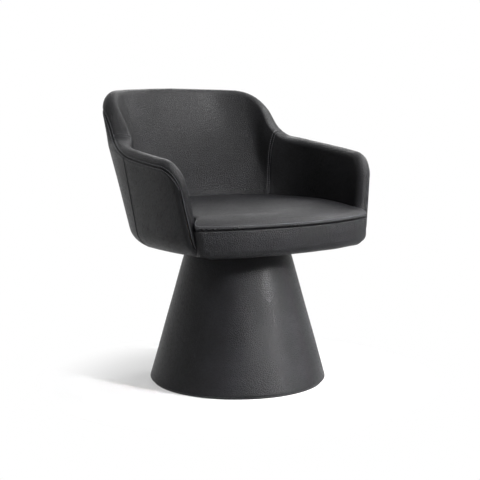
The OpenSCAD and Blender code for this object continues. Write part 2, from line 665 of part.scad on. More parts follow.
// Front band of the seat with its rolled lower edge, and the foam behind it
band_steps = 4;
function band_width(c) = mix(1, low_keep_share, pow(sin(c), 3));
function band_col(t, depth) =
    let (z1 = shell_z + band_curl, top = seat_seam_h - fit_gap)
    concat(
        [lifted(front_pt(t * low_keep_share, shell_z, band_curl + lip_w), shell_z + depth)],
        [for (k = [0:band_steps])
            let (c = 90 * (1 - k / band_steps), r = band_curl - depth, z = z1 - r * sin(c))
            lifted(front_pt(t * band_width(c), z, band_curl - r * cos(c)), z)],
        [for (z = [(z1 + top) / 2, top]) lifted(front_pt(t, z, depth), z)]);
band_cols = 24;
foam_lift = 8;
module seat_band() {
    function cols(depth) = [for (k = [0:band_cols]) band_col(2 * k / band_cols - 1, depth)];
    color(charcoal) slab(cols(0), cols(leather_t));
}
module front_foam() {
    top = seat_seam_h - front_pull_h - 3 * fit_gap;
    function col(t, depth) = [for (z = [board_z + foam_lift, shell_z + band_curl, top])
        let (c = curl_of(z), d = band_curl - (band_curl - leather_t - layer_gap) * cos(c))
        lifted(front_pt(t, z, max(depth, d)), z)];
    function cols(depth) =
        [for (k = [0:front_steps]) col(front_keep_share * (2 * k / front_steps - 1), depth)];
    function curl_of(z) =
        asin(min(max((shell_z + band_curl - z) / (band_curl - leather_t - layer_gap), 0), 1));
    color(foam_cream) slab(cols(0), cols(foam_set - fit_gap));
}

// Black cloth stapled under the seat board inside the leather lips
cloth_t = 0.8;
cloth_gap = 4 * fit_gap;
cloth_loop = seat_loop(board_z, curl_r + lip_w + cloth_gap, corner_set + lip_w,
    band_curl + lip_w + cloth_gap, low_keep_share);
module dust_cover() {
    color(soft_black) difference() {
        translate([0, 0, board_z - cloth_t]) linear_extrude(cloth_t) polygon(cloth_loop);
        translate([0, 0, board_z - cloth_t - over]) {
            cylinder(r = upper_r + cloth_gap, h = cloth_t + 2 * over);
            for (p = frame_spots) translate(p) cylinder(d = screw_head_d, h = cloth_t + 2 * over, $fn = 24);
        }
    }
}

// Swivel: two pressed plates with a ball race between them, held by a hollow rivet
plate_round = 16;
groove_in = 0.8;
race_mid = swivel_z + swivel_h / 2;
bolt_head_r = 6.5;
bolt_head_h = 3.6;
bolt_len = 30;
rivet_wall = 2;
rivet_lip = 4;
rivet_gap = 0.3;
access_r = 9;
module race_groove() {
    translate([0, 0, race_mid]) rotate_extrude() translate([race_r, 0])
        circle(d = ball_d + screw_gap, $fn = 32);
}
module access_hole(z, h) {
    translate([upper_pitch / 2, upper_pitch / 2, z]) cylinder(r = access_r, h = h);
}
module lower_plate() {
    color(steel) difference() {
        translate([0, 0, swivel_z]) linear_extrude(swivel_t) offset(r = plate_round)
            square(lower_w - 2 * plate_round, center = true);
        race_groove();
        translate([0, 0, swivel_z - over]) {
            square_spots(lower_pitch) cylinder(d = bolt_d + 2 * screw_gap, h = swivel_t + 2 * over);
            cylinder(r = rivet_r + screw_gap, h = swivel_t + 2 * over);
        }
        access_hole(swivel_z - over, swivel_t + 2 * over);
    }
}
module upper_plate() {
    z = board_z - swivel_t;
    color(steel) difference() {
        translate([0, 0, z]) cylinder(r = upper_r, h = swivel_t);
        race_groove();
        translate([0, 0, z - over]) {
            square_spots(upper_pitch) cylinder(d = bolt_d + 2 * screw_gap, h = swivel_t + 2 * over);
            cylinder(r = rivet_r + rivet_gap, h = swivel_t + 2 * over);
        }
    }
}
module centre_rivet() {
    low = swivel_z - rivet_wall;
    high = board_z + rivet_gap;
    color(steel) difference() {
        union() {
            translate([0, 0, low]) cylinder(r = rivet_r + rivet_lip, h = rivet_wall);
            translate([0, 0, low]) cylinder(r = rivet_r, h = high - low + rivet_wall);
            translate([0, 0, high]) cylinder(r = rivet_r + rivet_lip, h = rivet_wall);
        }
        translate([0, 0, low - over])
            cylinder(r = rivet_r - rivet_wall, h = high - low + rivet_wall + 2 * over);
    }
}
module balls() {
    color(steel) for (k = [0:ball_count - 1]) rotate(k * 360 / ball_count)
        translate([race_r, 0, race_mid]) sphere(d = ball_d, $fn = 32);
}
cage_w = 17;
cage_t = 2.4;
cage_gap = 0.4;
module ball_cage() {
    color(nylon) translate([0, 0, race_mid - cage_t / 2]) difference() {
        cylinder(r = race_r + cage_w / 2, h = cage_t);
        translate([0, 0, -over]) {
            cylinder(r = race_r - cage_w / 2, h = cage_t + 2 * over);
            for (k = [0:ball_count - 1]) rotate(k * 360 / ball_count) translate([race_r, 0, 0])
                cylinder(d = ball_d + cage_gap, h = cage_t + 2 * over, $fn = 32);
        }
    }
}
module bolt(head_h, length) {
    cylinder(r = bolt_head_r, h = head_h, $fn = 32);
    translate([0, 0, -length]) cylinder(d = bolt_d, h = length + head_h / 2, $fn = 32);
}
module nut(length, flange) {
    difference() {
        union() {
            cylinder(d = nut_d, h = length, $fn = 32);
            cylinder(r = nut_flange_r, h = flange, $fn = 32);
        }
        translate([0, 0, -over]) cylinder(d = bolt_d + screw_gap, h = length + 2 * over, $fn = 32);
    }
}
module lower_bolts() {
    color(dark_steel) translate([0, 0, swivel_z + swivel_t]) square_spots(lower_pitch)
        bolt(bolt_head_h, bolt_len);
}
module lower_nuts() {
    color(steel) translate([0, 0, swivel_z - plate_t - nut_flange_t]) square_spots(lower_pitch)
        nut(nut_h, nut_flange_t);
}
module upper_bolts() {
    color(dark_steel) translate([0, 0, board_z - swivel_t]) square_spots(upper_pitch)
        mirror([0, 0, 1]) bolt(bolt_head_h, board_t + swivel_t);
}
module tee_nuts() {
    color(steel) translate([0, 0, ring_z + nut_flange_t]) square_spots(upper_pitch)
        mirror([0, 0, 1]) nut(nut_h, nut_flange_t);
}

// Pedestal: a cone that widens steadily from the neck to the foot
cone_h = neck_z - pad_t;
cone_share = (foot_r - neck_r) / cone_h;
cone_angle = atan(cone_share);
function cone_r(z, depth) = foot_r - (z - pad_t) * cone_share - depth / cos(cone_angle);
wrap_w = 26;
neck_wrap_w = 9;
top_board_z = swivel_z - plate_t;
board_gap = sleeve_t + skin_t + leather_t + 3 * fit_gap;
module turned_wall(z0, z1, depth, t) {
    rotate_extrude($fn = 128) polygon([[cone_r(z0, depth), z0], [cone_r(z1, depth), z1],
        [cone_r(z1, depth + t), z1], [cone_r(z0, depth + t), z0]]);
}
// Outline of the cover: the outside with rounded ends, and the same moved in by depth
round_steps = 6;
function cover_line(depth) =
    let (r = cover_round - depth,
        low = [cone_r(pad_t + cover_round, cover_round), pad_t + cover_round],
        high = [cone_r(neck_z - cover_round, cover_round), neck_z - cover_round])
    concat([[low.x - wrap_w, low.y - r]],
        [for (k = [0:round_steps]) low + r * ray(mix(-90, cone_angle, k / round_steps))],
        [for (k = [0:round_steps]) high + r * ray(mix(cone_angle, 90, k / round_steps))],
        [[high.x - neck_wrap_w, high.y + r]]);
module pedestal_cover() {
    outer = cover_line(0);
    inner = cover_line(leather_t);
    color(charcoal) rotate_extrude($fn = 128)
        polygon(concat(outer, [for (k = [len(inner) - 1:-1:0]) inner[k]]));
}
wall_foot_z = pad_t + leather_t + fit_gap;
wall_neck_z = neck_z - leather_t - fit_gap;
module pedestal_foam() {
    color(foam_cream) turned_wall(pad_t + cover_round, neck_z - cover_round, leather_t + fit_gap, sleeve_t);
}
module pedestal_skin() {
    color(birch) turned_wall(wall_foot_z, wall_neck_z, leather_t + sleeve_t + 2 * fit_gap, skin_t);
}
module floor_pad() {
    inner_r = cone_r(pad_t + cover_round, cover_round) - wrap_w - fit_gap;
    color(soft_black) union() {
        cylinder(r = foot_r - pad_set, h = pad_t, $fn = 128);
        cylinder(r = inner_r, h = floor_board_z, $fn = 128);
    }
}
ballast_screw_count = 6;
ballast_edge = 27;
module ballast_spots() {
    for (k = [0:ballast_screw_count - 1]) rotate((k + 1 / 2) * 360 / ballast_screw_count)
        translate([ballast_r - ballast_edge, 0, 0]) children();
}
rib_low = 200;
rib_high = 70;
module rib_spots(reach) {
    for (a = [0:90:270]) rotate(a) translate([reach, 0, 0]) children();
}
// Countersunk seat of a wood screw in a board
module screw_seat(length) {
    cylinder(d = screw_d + 2 * screw_gap, h = length + 2 * over, $fn = 24);
    cylinder(d = screw_head_d + 2 * screw_gap, h = screw_head_t + over, $fn = 24);
}
module bottom_board() {
    color(birch) difference() {
        translate([0, 0, floor_board_z]) cylinder(r1 = cone_r(floor_board_z, board_gap),
            r2 = cone_r(floor_board_z + plate_t, board_gap), h = plate_t, $fn = 128);
        translate([0, 0, floor_board_z - over]) {
            cylinder(r = ballast_r + fit_gap, h = ballast_t + over, $fn = 128);
            ballast_spots() cylinder(d = screw_d + screw_gap, h = plate_t - fit_gap + over, $fn = 24);
            rib_spots(rib_low) screw_seat(plate_t);
        }
    }
}
module ballast_plate() {
    color(dark_steel) translate([0, 0, floor_board_z]) difference() {
        cylinder(r = ballast_r, h = ballast_t, $fn = 128);
        translate([0, 0, -over]) {
            ballast_spots() screw_seat(ballast_t);
        }
    }
}
module wood_screw(length) {
    cylinder(d = screw_head_d, h = screw_head_t - screw_gap, $fn = 24);
    cylinder(d = screw_d, h = length, $fn = 24);
}
module ballast_screws() {
    color(steel) translate([0, 0, floor_board_z]) ballast_spots() wood_screw(plate_t - 2 * fit_gap);
}
rib_z = floor_board_z + plate_t;
rib_h = top_board_z - rib_z;
rib_screw_in = 30;
window_low_r = 38;
window_high_r = 30;
window_share = 0.53;
window_low_share = 0.3;
window_high_share = 0.7;
// One rib: a plate as wide as the inside of the skin, with four windows and pilot holes
module rib_plate() {
    r0 = cone_r(rib_z, board_gap);
    r1 = cone_r(top_board_z, board_gap);
    difference() {
        rotate([90, 0, 0]) translate([0, 0, -rib_t / 2]) linear_extrude(rib_t) difference() {
            polygon([[-r0, rib_z], [r0, rib_z], [r1, top_board_z], [-r1, top_board_z]]);
            for (s = [-1, 1] * window_share) {
                translate([s * r0, rib_z + rib_h * window_low_share]) circle(r = window_low_r);
                translate([s * r1, rib_z + rib_h * window_high_share]) circle(r = window_high_r);
            }
        }
        for (s = [-1, 1]) {
            translate([s * rib_low, 0, rib_z - over])
                cylinder(d = screw_d + screw_gap, h = rib_screw_in + over + fit_gap, $fn = 24);
            translate([s * rib_high, 0, top_board_z - rib_screw_in - fit_gap])
                cylinder(d = screw_d + screw_gap, h = rib_screw_in + over + fit_gap, $fn = 24);
        }
    }
}
module rib_slot(z, h) {
    translate([-rib_t / 2 - fit_gap / 2, -rib_t, z]) cube([rib_t + fit_gap, 2 * rib_t, h]);
}
module cross_rib() {
    color(birch) difference() {
        rib_plate();
        rib_slot(rib_z + rib_h / 2, rib_h / 2 + over);
    }
}
module notched_rib() {
    color(birch) rotate(90) difference() {
        rib_plate();
        rib_slot(rib_z - over, rib_h / 2 + over);
    }
}
module top_board() {
    color(birch) difference() {
        translate([0, 0, top_board_z]) cylinder(r1 = cone_r(top_board_z, board_gap),
            r2 = cone_r(top_board_z + plate_t, board_gap), h = plate_t, $fn = 128);
        translate([0, 0, top_board_z - over]) {
            square_spots(lower_pitch) cylinder(d = nut_d + 2 * screw_gap, h = plate_t + 2 * over);
            translate([0, 0, plate_t + 2 * over]) mirror([0, 0, 1]) rib_spots(rib_high) screw_seat(plate_t);
            translate([0, 0, plate_t - rivet_wall - screw_gap + over])
                cylinder(r = rivet_r + rivet_lip + screw_gap, h = rivet_wall + over + screw_gap);
        }
        access_hole(top_board_z - over, plate_t + 2 * over);
    }
}
module board_screws() {
    color(steel) {
        translate([0, 0, floor_board_z]) rib_spots(rib_low) wood_screw(plate_t + rib_screw_in);
        translate([0, 0, swivel_z]) mirror([0, 0, 1]) rib_spots(rib_high)
            wood_screw(plate_t + rib_screw_in);
    }
}

floor_pad();
bottom_board();
ballast_plate();
ballast_screws();
cross_rib();
notched_rib();
pedestal_skin();
pedestal_foam();
pedestal_cover();
top_board();
board_screws();
lower_plate();
lower_bolts();
lower_nuts();
centre_rivet();
ball_cage();
balls();
upper_plate();
upper_bolts();
tee_nuts();
seat_board();
seat_frame();
frame_screws();
long_straps();
cross_straps();
seat_foam();
front_foam();
seat_cover();
seat_band();
tub_shell();
back_foam();
right_arm_foam();
left_arm_foam();
outer_wadding();
back_lining();
right_arm_lining();
left_arm_lining();
back_panel();
right_panel();
left_panel();
dust_cover();
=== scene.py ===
"""Looks of the pedestal swivel armchair: a leather tub on a leather covered cone.

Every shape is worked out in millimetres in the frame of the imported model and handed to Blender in
metres. The origin lies on the floor on the turning axis, +Z is up and the sitter faces -Y.
"""

import logging
import math
from dataclasses import dataclass
from enum import Enum
from functools import partial
from typing import Callable, Sequence

import bpy
import numpy as np
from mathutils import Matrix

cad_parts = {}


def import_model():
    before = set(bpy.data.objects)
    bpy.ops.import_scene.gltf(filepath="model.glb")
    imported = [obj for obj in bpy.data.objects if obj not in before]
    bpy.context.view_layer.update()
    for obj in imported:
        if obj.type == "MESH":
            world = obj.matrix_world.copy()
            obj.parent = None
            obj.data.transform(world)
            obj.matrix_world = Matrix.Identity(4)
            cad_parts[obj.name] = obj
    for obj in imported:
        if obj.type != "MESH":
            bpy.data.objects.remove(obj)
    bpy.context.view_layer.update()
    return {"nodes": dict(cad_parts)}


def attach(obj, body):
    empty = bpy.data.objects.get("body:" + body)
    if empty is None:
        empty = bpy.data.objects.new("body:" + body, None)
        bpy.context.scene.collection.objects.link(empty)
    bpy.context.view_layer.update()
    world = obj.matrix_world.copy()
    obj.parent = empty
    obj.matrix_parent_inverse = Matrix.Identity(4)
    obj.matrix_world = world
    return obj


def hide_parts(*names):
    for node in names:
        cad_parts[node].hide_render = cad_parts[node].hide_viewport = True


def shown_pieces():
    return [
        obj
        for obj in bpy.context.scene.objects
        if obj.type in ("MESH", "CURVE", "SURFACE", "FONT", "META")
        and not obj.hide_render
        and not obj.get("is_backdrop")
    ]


Array = np.ndarray
Piece = bpy.types.Object
Tree = bpy.types.NodeTree
Socket = bpy.types.NodeSocket
Place = Callable[[Array | float], Array]
Measure = Callable[[Array], Array]
MM = 0.001
LEATHER_THICK = 2.0
LOG = logging.getLogger("armchair")


class Side(Enum):
    """The two sides of the chair, as the sign of X."""

    RIGHT = -1.0
    LEFT = 1.0


class Seed(Enum):
    """Numbers that pick the fixed unevenness of each leather; its puckers take the number after."""

    BACK_LINING = 11
    BACK_PANEL = 21
    ARM_LINING = 31
    ARM_PANEL = 41
    SEAT_PAD = 51
    FRONT_BAND = 61
    PEDESTAL = 71


# Small sums on whole arrays


def mix(a: Array | float, b: Array | float, k: Array | float) -> Array | float:
    """Straight-line blend from a to b by the share k."""
    return a + (b - a) * k


def unit(v: Array) -> Array:
    """Vectors of length 1 along the last axis."""
    return v / np.maximum(np.linalg.norm(v, axis=-1, keepdims=True), 1e-12)


def smooth(k: Array | float) -> Array:
    """Ease from 0 to 1 with level ends: 3k^2 - 2k^3 of the clamped share."""
    k = np.clip(k, 0.0, 1.0)
    return k * k * (3.0 - 2.0 * k)


def run_lengths(points: Array, axis: int) -> Array:
    """Distance travelled along one axis of a grid of points.

    Args:
        points: grid of points, the last axis being their coordinates.
        axis: the grid axis that is followed.

    Returns:
        The running sum of the step lengths, 0 at the first point.
    """
    steps = np.linalg.norm(np.diff(points, axis=axis), axis=-1)
    pad = [(0, 0)] * steps.ndim
    pad[axis] = (1, 0)
    return np.cumsum(np.pad(steps, pad), axis=axis)


def bell_weights(reach: int, width: float) -> tuple[Array, Array]:
    """Weights exp(-(step / width)^2) of a blur.

    Args:
        reach: number of steps on either side of the middle.
        width: width of the bell, in steps.

    Returns:
        The steps from -reach to reach, and their weights, which sum to 1.
    """
    steps = np.arange(-reach, reach + 1)
    bell = np.exp(-((steps / width) ** 2))
    return steps, bell / bell.sum()


def ripple(p: Array, wave: float, seed: int, count: int = 9, gain: float = 1.6) -> Array:
    """Soft unevenness: the mean of sine waves that cross the points in fixed random directions.

    Args:
        p: points in millimetres.
        wave: middle length of the waves in millimetres.
        seed: picks the fixed directions.
        count: number of waves.
        gain: raises the mean, in which the waves partly cancel.

    Returns:
        Values between about -1 and 1.
    """
    draw = np.random.default_rng(seed)
    ways = unit(draw.normal(size=(count, 3)))
    waves = wave * draw.uniform(0.7, 1.6, (count, 1))
    phases = draw.uniform(0, 2 * math.pi, count)
    return np.sin(p @ (ways * (2 * math.pi / waves)).T + phases).mean(axis=-1) * gain


# Meshes


def new_piece(name: str, points: Array, faces: Sequence[Sequence[int]], shade_smooth: bool = True) -> Piece:
    """Puts a mesh worked out in millimetres into the scene.

    Args:
        name: name of the piece.
        points: points in millimetres, one row each.
        faces: point numbers of each face.
        shade_smooth: whether the faces are shaded as one curved surface.

    Returns:
        The new object, at the origin.
    """
    mesh = bpy.data.meshes.new(name)
    mesh.from_pydata((np.asarray(points).reshape(-1, 3) * MM).tolist(), [], [list(f) for f in faces])
    mesh.validate()
    mesh.polygons.foreach_set("use_smooth", [shade_smooth] * len(mesh.polygons))
    piece = bpy.data.objects.new(name, mesh)
    bpy.context.scene.collection.objects.link(piece)
    return piece


def grid_faces(rows: int, cols: int, start: int = 0, wrap: bool = False) -> Array:
    """Squares between the neighbouring points of a grid.

    Args:
        rows: number of rows of the grid.
        cols: number of its columns.
        start: number of its first point.
        wrap: whether the last column joins the first one.

    Returns:
        Four point numbers for each square, row after row.
    """
    i, j = np.meshgrid(np.arange(rows - 1), np.arange(cols if wrap else cols - 1), indexing="ij")
    k = (j + 1) % cols
    quad = np.stack([i * cols + j, i * cols + k, (i + 1) * cols + k, (i + 1) * cols + j], axis=-1)
    return quad.reshape(-1, 4) + start


def skin(name: str, outside: Array, inside: Array) -> Piece:
    """Closed sheet between an outside grid and an inside grid of the same size.

    Args:
        name: name of the piece.
        outside: grid of points of the side that shows.
        inside: the same grid moved inwards by the thickness.

    Returns:
        The piece, with its faces pointing outwards.
    """
    rows, cols = outside.shape[:2]
    n = rows * cols
    top = grid_faces(rows, cols)
    low = grid_faces(rows, cols, n)[:, ::-1]
    r, c = np.arange(rows), np.arange(cols)
    rim = np.concatenate([c[::-1], r[1:] * cols, (rows - 1) * cols + c[1:], (r * cols + cols - 1)[-2:0:-1]])
    nxt = np.roll(rim, -1)
    wall = np.stack([rim, nxt, nxt + n, rim + n], axis=-1)
    faces = np.concatenate([top, low, wall])
    mid = (rows // 2, cols // 2)
    a, b = outside[mid[0] + 1, mid[1]] - outside[mid], outside[mid[0], mid[1] + 1] - outside[mid]
    if np.dot(np.cross(b, a), outside[mid] - inside[mid]) < 0:
        faces = faces[:, ::-1]
    return new_piece(name, np.concatenate([outside.reshape(-1, 3), inside.reshape(-1, 3)]), faces.tolist())


def leather_skin(name: str, place: Place, depth: Array, proud: float) -> Piece:
    """Closed skin of leather.

    Args:
        name: name of the piece.
        place: gives the grid of its points at a depth behind its plain outside.
        depth: depth of its outside at each point.
        proud: the most that it may stand out from its plain outside.

    Returns:
        The piece, with its inside one thickness behind its outside.
    """
    return skin(name, place(np.maximum(depth, -proud)), place(np.maximum(depth, 0) + LEATHER_THICK))


def closed_rings(name: str, rings: Array) -> Piece:
    """Closed body through rings of points, each end drawn together in its middle point.

    Args:
        name: name of the piece.
        rings: rings in order, counter-clockwise seen from the last towards the first.

    Returns:
        The piece.
    """
    m, n = rings.shape[:2]
    body = grid_faces(m, n, wrap=True)
    ends = np.stack([rings[0].mean(axis=0), rings[-1].mean(axis=0)])
    j = np.arange(n)
    k = (j + 1) % n
    first = np.stack([np.full(n, m * n), k, j], axis=-1)
    last = np.stack([np.full(n, m * n + 1), (m - 1) * n + j, (m - 1) * n + k], axis=-1)
    faces = body.tolist() + first.tolist() + last.tolist()
    return new_piece(name, np.concatenate([rings.reshape(-1, 3), ends]), faces)


def from_first(points: Array) -> Array:
    """Distance of each point of a grid from the grid's first column."""
    return run_lengths(points, 1)


def from_both_ends(points: Array) -> Array:
    """Distance of each point of a grid from the nearer of its first and last columns."""
    return np.minimum(run_lengths(points, 1), run_lengths(points[:, ::-1], 1)[:, ::-1])


def along(path: Array, places: Array) -> Array:
    """Points of a polyline.

    Args:
        path: points of the polyline.
        places: distances from its start.

    Returns:
        One point for each distance.
    """
    far = run_lengths(path, 0)
    return np.stack([np.interp(places, far, path[:, k]) for k in range(path.shape[1])], axis=-1)


def stitch_row(name: str, path: Array, normals: Array, pitch: float = 5.6, thread: float = 0.75) -> Piece:
    """Row of stitches: each is a bead bent down at both ends, as thick as the thread in its middle.

    The height follows 1 - v^2 and the thickness (1 - v^6)^(1/2) of the place v along the stitch.

    Args:
        name: name of the piece.
        path: points that the row follows, on the leather.
        normals: outward directions there.
        pitch: distance from stitch to stitch.
        thread: radius of the thread.

    Returns:
        The piece that holds all stitches of the row.
    """
    rings = sides = 6
    half_share, arch, sunk, end_least = 0.38, 1.1, 0.45, 0.02
    far = run_lengths(path, 0)
    total = far[-1]
    count = max(int(total / pitch), 1)
    middles = (np.arange(count) + 0.5) * total / count
    v = np.linspace(-1.0, 1.0, rings)
    turn = np.linspace(0, 2 * math.pi, sides, endpoint=False)[:, None]
    at = middles[:, None] + half_share * total / count * v
    centre = along(path, at.ravel()).reshape(*at.shape, 3)
    up = unit(np.stack([np.interp(at, far, normals[:, k]) for k in range(3)], axis=-1))
    ahead = unit(np.gradient(centre, axis=1))
    cross = unit(np.cross(ahead, up))
    up = np.cross(cross, ahead)
    lift = arch * thread * (1 - v**2) - sunk * thread
    size = thread * np.sqrt(np.maximum(1 - v**6, end_least))
    spine = centre + up * lift[:, None]
    ring = cross[..., None, :] * np.cos(turn) + up[..., None, :] * np.sin(turn)
    points = spine[..., None, :] + ring * size[:, None, None]
    bead = grid_faces(rings, sides, wrap=True)
    caps = np.stack([np.arange(sides)[::-1], np.arange(sides) + (rings - 1) * sides])
    faces = []
    for first in range(0, count * rings * sides, rings * sides):
        faces += (bead + first).tolist() + (caps + first).tolist()
    return new_piece(name, points.reshape(-1, 3), faces)


# The form of the tub


@dataclass
class TubForm:
    """The tub as an unrolled sheet: x runs along it from the middle of the back, z is the height."""

    back_h: float = 793.0
    shell_z: float = 383.0
    plan_h: float = 600.0
    plan_set: float = 53.0
    plan_half_w: float = 334.0
    plan_back: float = 348.0
    plan_front: float = 338.0
    arm_reach: float = 194.0
    back_square: float = 2.7
    front_square: float = 2.6
    side_lean: float = 0.154
    back_lean: float = 0.431
    front_lean: float = 0.133
    shoulder: tuple[float, float, float] = (261.0, 787.0, 126.0)
    notch: tuple[float, float, float] = (331.0, 661.0, 86.0)
    arm_h: float = 618.0
    arm_r: float = 70.0
    curl_r: float = 46.0
    wall: float = 42.0
    corner_fill: float = 22.0
    corner_fill_w: float = 85.0
    corner_fill_down: float = 150.0
    back_crown: float = 8.0
    crown_low: float = 485.0
    seam_drop: float = 30.0
    seam_drop_front: float = 15.0
    foot_z: float = 437.8
    strip_z: float = 395.0
    strip_w: float = 43.0
    seam_foot_x: float = 284.0
    seam_bend: float = 3.0
    rear_seam_x: float = 455.0
    rear_seam_share: float = 0.4
    seam_runs: tuple[float, ...] = (0, 262, 285, 312, 350, 412, 455, 502, 552, 600)
    seam_lengths: tuple[float, ...] = (30, 30, 25, 12, 6, 4, 8.5, 19, 28.5, 30)
    seam_blur: tuple[int, float] = (24, 11.0)
    lip_back: float = 16.0
    lip_front: float = 2.0
    plan_points: int = 721

    def __post_init__(self) -> None:
        """Works out the run of the plan and of the edge once."""
        shares = np.linspace(0, 1, self.plan_points)
        plan = self.at(shares, np.full_like(shares, self.plan_h))
        self.shares, self.runs = shares, run_lengths(plan, 0)
        self.length = float(self.runs[-1])
        self.crest = self.wall / 2
        self._trace_edge()

    def at(self, u: Array, z: Array) -> Array:
        """Point of the outer surface at the share u of the way round and height z.

        The plan is a superellipse |x/a|^e + |y/b|^e = 1 whose half axes grow with the height.

        Args:
            u: share of the way round, 0 at the middle of the back and 1 at an arm's front.
            z: height.

        Returns:
            Points in millimetres.
        """
        rise = z - self.plan_h
        a = self.plan_half_w + self.side_lean * rise
        front_y = self.front_lean * rise - self.arm_reach
        q = (-self.plan_set - front_y) / self.plan_front
        end = np.arctan2(a * (1 - q**self.front_square) ** (1 / self.front_square), front_y + self.plan_set)
        s, c = np.sin(u * end), np.cos(u * end)
        b = np.where(c > 0, self.plan_back + self.back_lean * rise, self.plan_front)
        e = np.where(c > 0, self.back_square, self.front_square)
        r = (np.abs(s / a) ** e + np.abs(c / b) ** e) ** (-1 / e)
        return np.stack([r * s, r * c - self.plan_set, z + 0 * s], axis=-1)

    def normal(self, u: Array, z: Array) -> Array:
        """Outward direction of the outer surface, from small steps along and up it.

        Args:
            u: share of the way round.
            z: height.

        Returns:
            Directions of length 1.
        """
        step, rise = 0.001, 0.5
        v = np.clip(u, step - 1, 1 - step)
        ahead = self.at(v + step, z) - self.at(v - step, z)
        up = self.at(v, z + rise) - self.at(v, z - rise)
        return unit(np.cross(up, ahead))

    def way_round(self, x: Array) -> Array:
        """Share of the way round at the distance x along the tub."""
        return np.sign(x) * np.interp(np.abs(x), self.runs, self.shares)

    def sheet(self, x: Array, z: Array, off: Array, r: Array | float = 0.0,
              curl: Array | float = 0.0) -> Array:
        """Point of the sheet moved outwards by off, and inwards by a curl.

        Args:
            x: distance along the tub.
            z: height.
            off: distance outwards from the outer surface.
            r: radius of the curl under the tub.
            curl: angle of the curl in radians, which moves the point in by r (1 - cos curl).

        Returns:
            Points in millimetres.
        """
        x, z, off, r, curl = np.broadcast_arrays(x, z, off, r, curl)
        u = self.way_round(x)
        n = self.normal(u, z)
        flat = unit(n * [1, 1, 0])
        lean = np.stack([n[..., 0], n[..., 1], n[..., 2] * np.cos(curl)], axis=-1)
        return self.at(u, z) + off[..., None] * lean - (r * (1 - np.cos(curl)))[..., None] * flat

    def inside(self, x: Array, z: Array, off: Array | float) -> Array:
        """Point inside the outer surface, in plan.

        Args:
            x: distance along the tub.
            z: height.
            off: level distance inwards from the outer surface.

        Returns:
            X and Y in millimetres.
        """
        x, z, off = np.broadcast_arrays(x, z, off)
        u = self.way_round(x)
        n = self.normal(u, z)[..., :2]
        return self.at(u, z)[..., :2] - off[..., None] * n / (n**2).sum(axis=-1, keepdims=True)

    def _trace_edge(self) -> None:
        """Traces the edge of the sheet as straight legs with round corners, a step of about 1 mm."""
        arm_corner = 3
        corners = [(0.0, self.back_h, 0.0), self.shoulder, self.notch,
                   (self.length, self.arm_h, self.arm_r), (self.length, self.strip_z, 0.0)]
        spots = np.array([c[:2] for c in corners])
        ways = unit(np.diff(spots, axis=0))
        left = np.stack([-ways[:, 1], ways[:, 0]], axis=-1)
        points, normals, marks = [], [], {}
        start, run = spots[0], 0.0
        for i in range(1, len(spots)):
            last = i == len(spots) - 1
            turn = 0.0 if last else math.atan2(np.cross(ways[i - 1], ways[i]), ways[i - 1] @ ways[i])
            cut = 0.0 if last else corners[i][2] * math.tan(abs(turn) / 2)
            stop = spots[i] - ways[i - 1] * cut
            k = np.linspace(0, 1, max(int(np.linalg.norm(stop - start)), 2), endpoint=last)[:, None]
            points.append(mix(start, stop, k))
            normals.append(np.repeat(left[i - 1][None], len(k), axis=0))
            run += float(np.linalg.norm(stop - start))
            if last:
                break
            marks[f"corner{i}"] = run
            side = math.copysign(corners[i][2], turn)
            centre = stop + side * left[i - 1]
            arc = np.linspace(0, turn, max(int(abs(turn) * corners[i][2]), 2), endpoint=False)
            n = np.stack([left[i - 1][0] * np.cos(arc) - left[i - 1][1] * np.sin(arc),
                          left[i - 1][0] * np.sin(arc) + left[i - 1][1] * np.cos(arc)], axis=-1)
            points.append(centre - side * n)
            normals.append(n)
            if i == arm_corner:
                self.arm_centre = centre
            marks[f"middle{i}"] = run + abs(turn) * corners[i][2] / 2
            run += abs(turn) * corners[i][2]
            marks[f"end{i}"] = run
            start = spots[i] + ways[i] * cut
        self.edge_points, self.edge_normals = np.concatenate(points), unit(np.concatenate(normals))
        self.edge_runs = run_lengths(self.edge_points, 0)
        scale = self.edge_runs[-1] / run
        named = ("middle2", "corner3", "end3")
        self.t_notch, self.t_corner, self.t_front = (marks[k] * scale for k in named)
        self.t_rear = mix(marks["end2"] * scale, self.t_corner, self.rear_seam_share)
        self.t_end = float(self.edge_runs[-1])
        self.t_foot = self.t_end - (self.foot_z - self.strip_z)

    def edge(self, t: Array) -> tuple[Array, Array]:
        """Point of the edge.

        Args:
            t: run along the edge.

        Returns:
            The point as distance along the tub and height, and its outward direction in the sheet.
        """
        both = np.concatenate([self.edge_points, self.edge_normals], axis=1)
        got = np.stack([np.interp(t, self.edge_runs, both[:, k]) for k in range(4)], axis=-1)
        return got[..., :2], unit(got[..., 2:])

    def spine(self, t: Array) -> tuple[Array, Array]:
        """Middle line of the round edge at the run t, and the outward direction there."""
        p, n = self.edge(t)
        return p - self.crest * n, n

    def corner_share(self, t: Array) -> Array:
        """Share of the way round the arm corner at the run t."""
        return np.clip((t - self.t_corner) / (self.t_front - self.t_corner), 0, 1)

    def drop(self, t: Array) -> Array:
        """Most leather from the crest to the outer seam, which shrinks round the arm corner."""
        return mix(self.seam_drop, self.seam_drop_front, self.corner_share(t))

    def curl_angle(self, z: Array) -> Array:
        """Angle through which the outer surface has curled under at height z."""
        return np.arcsin(np.clip((self.shell_z + self.curl_r - z) / self.curl_r, 0, 1))

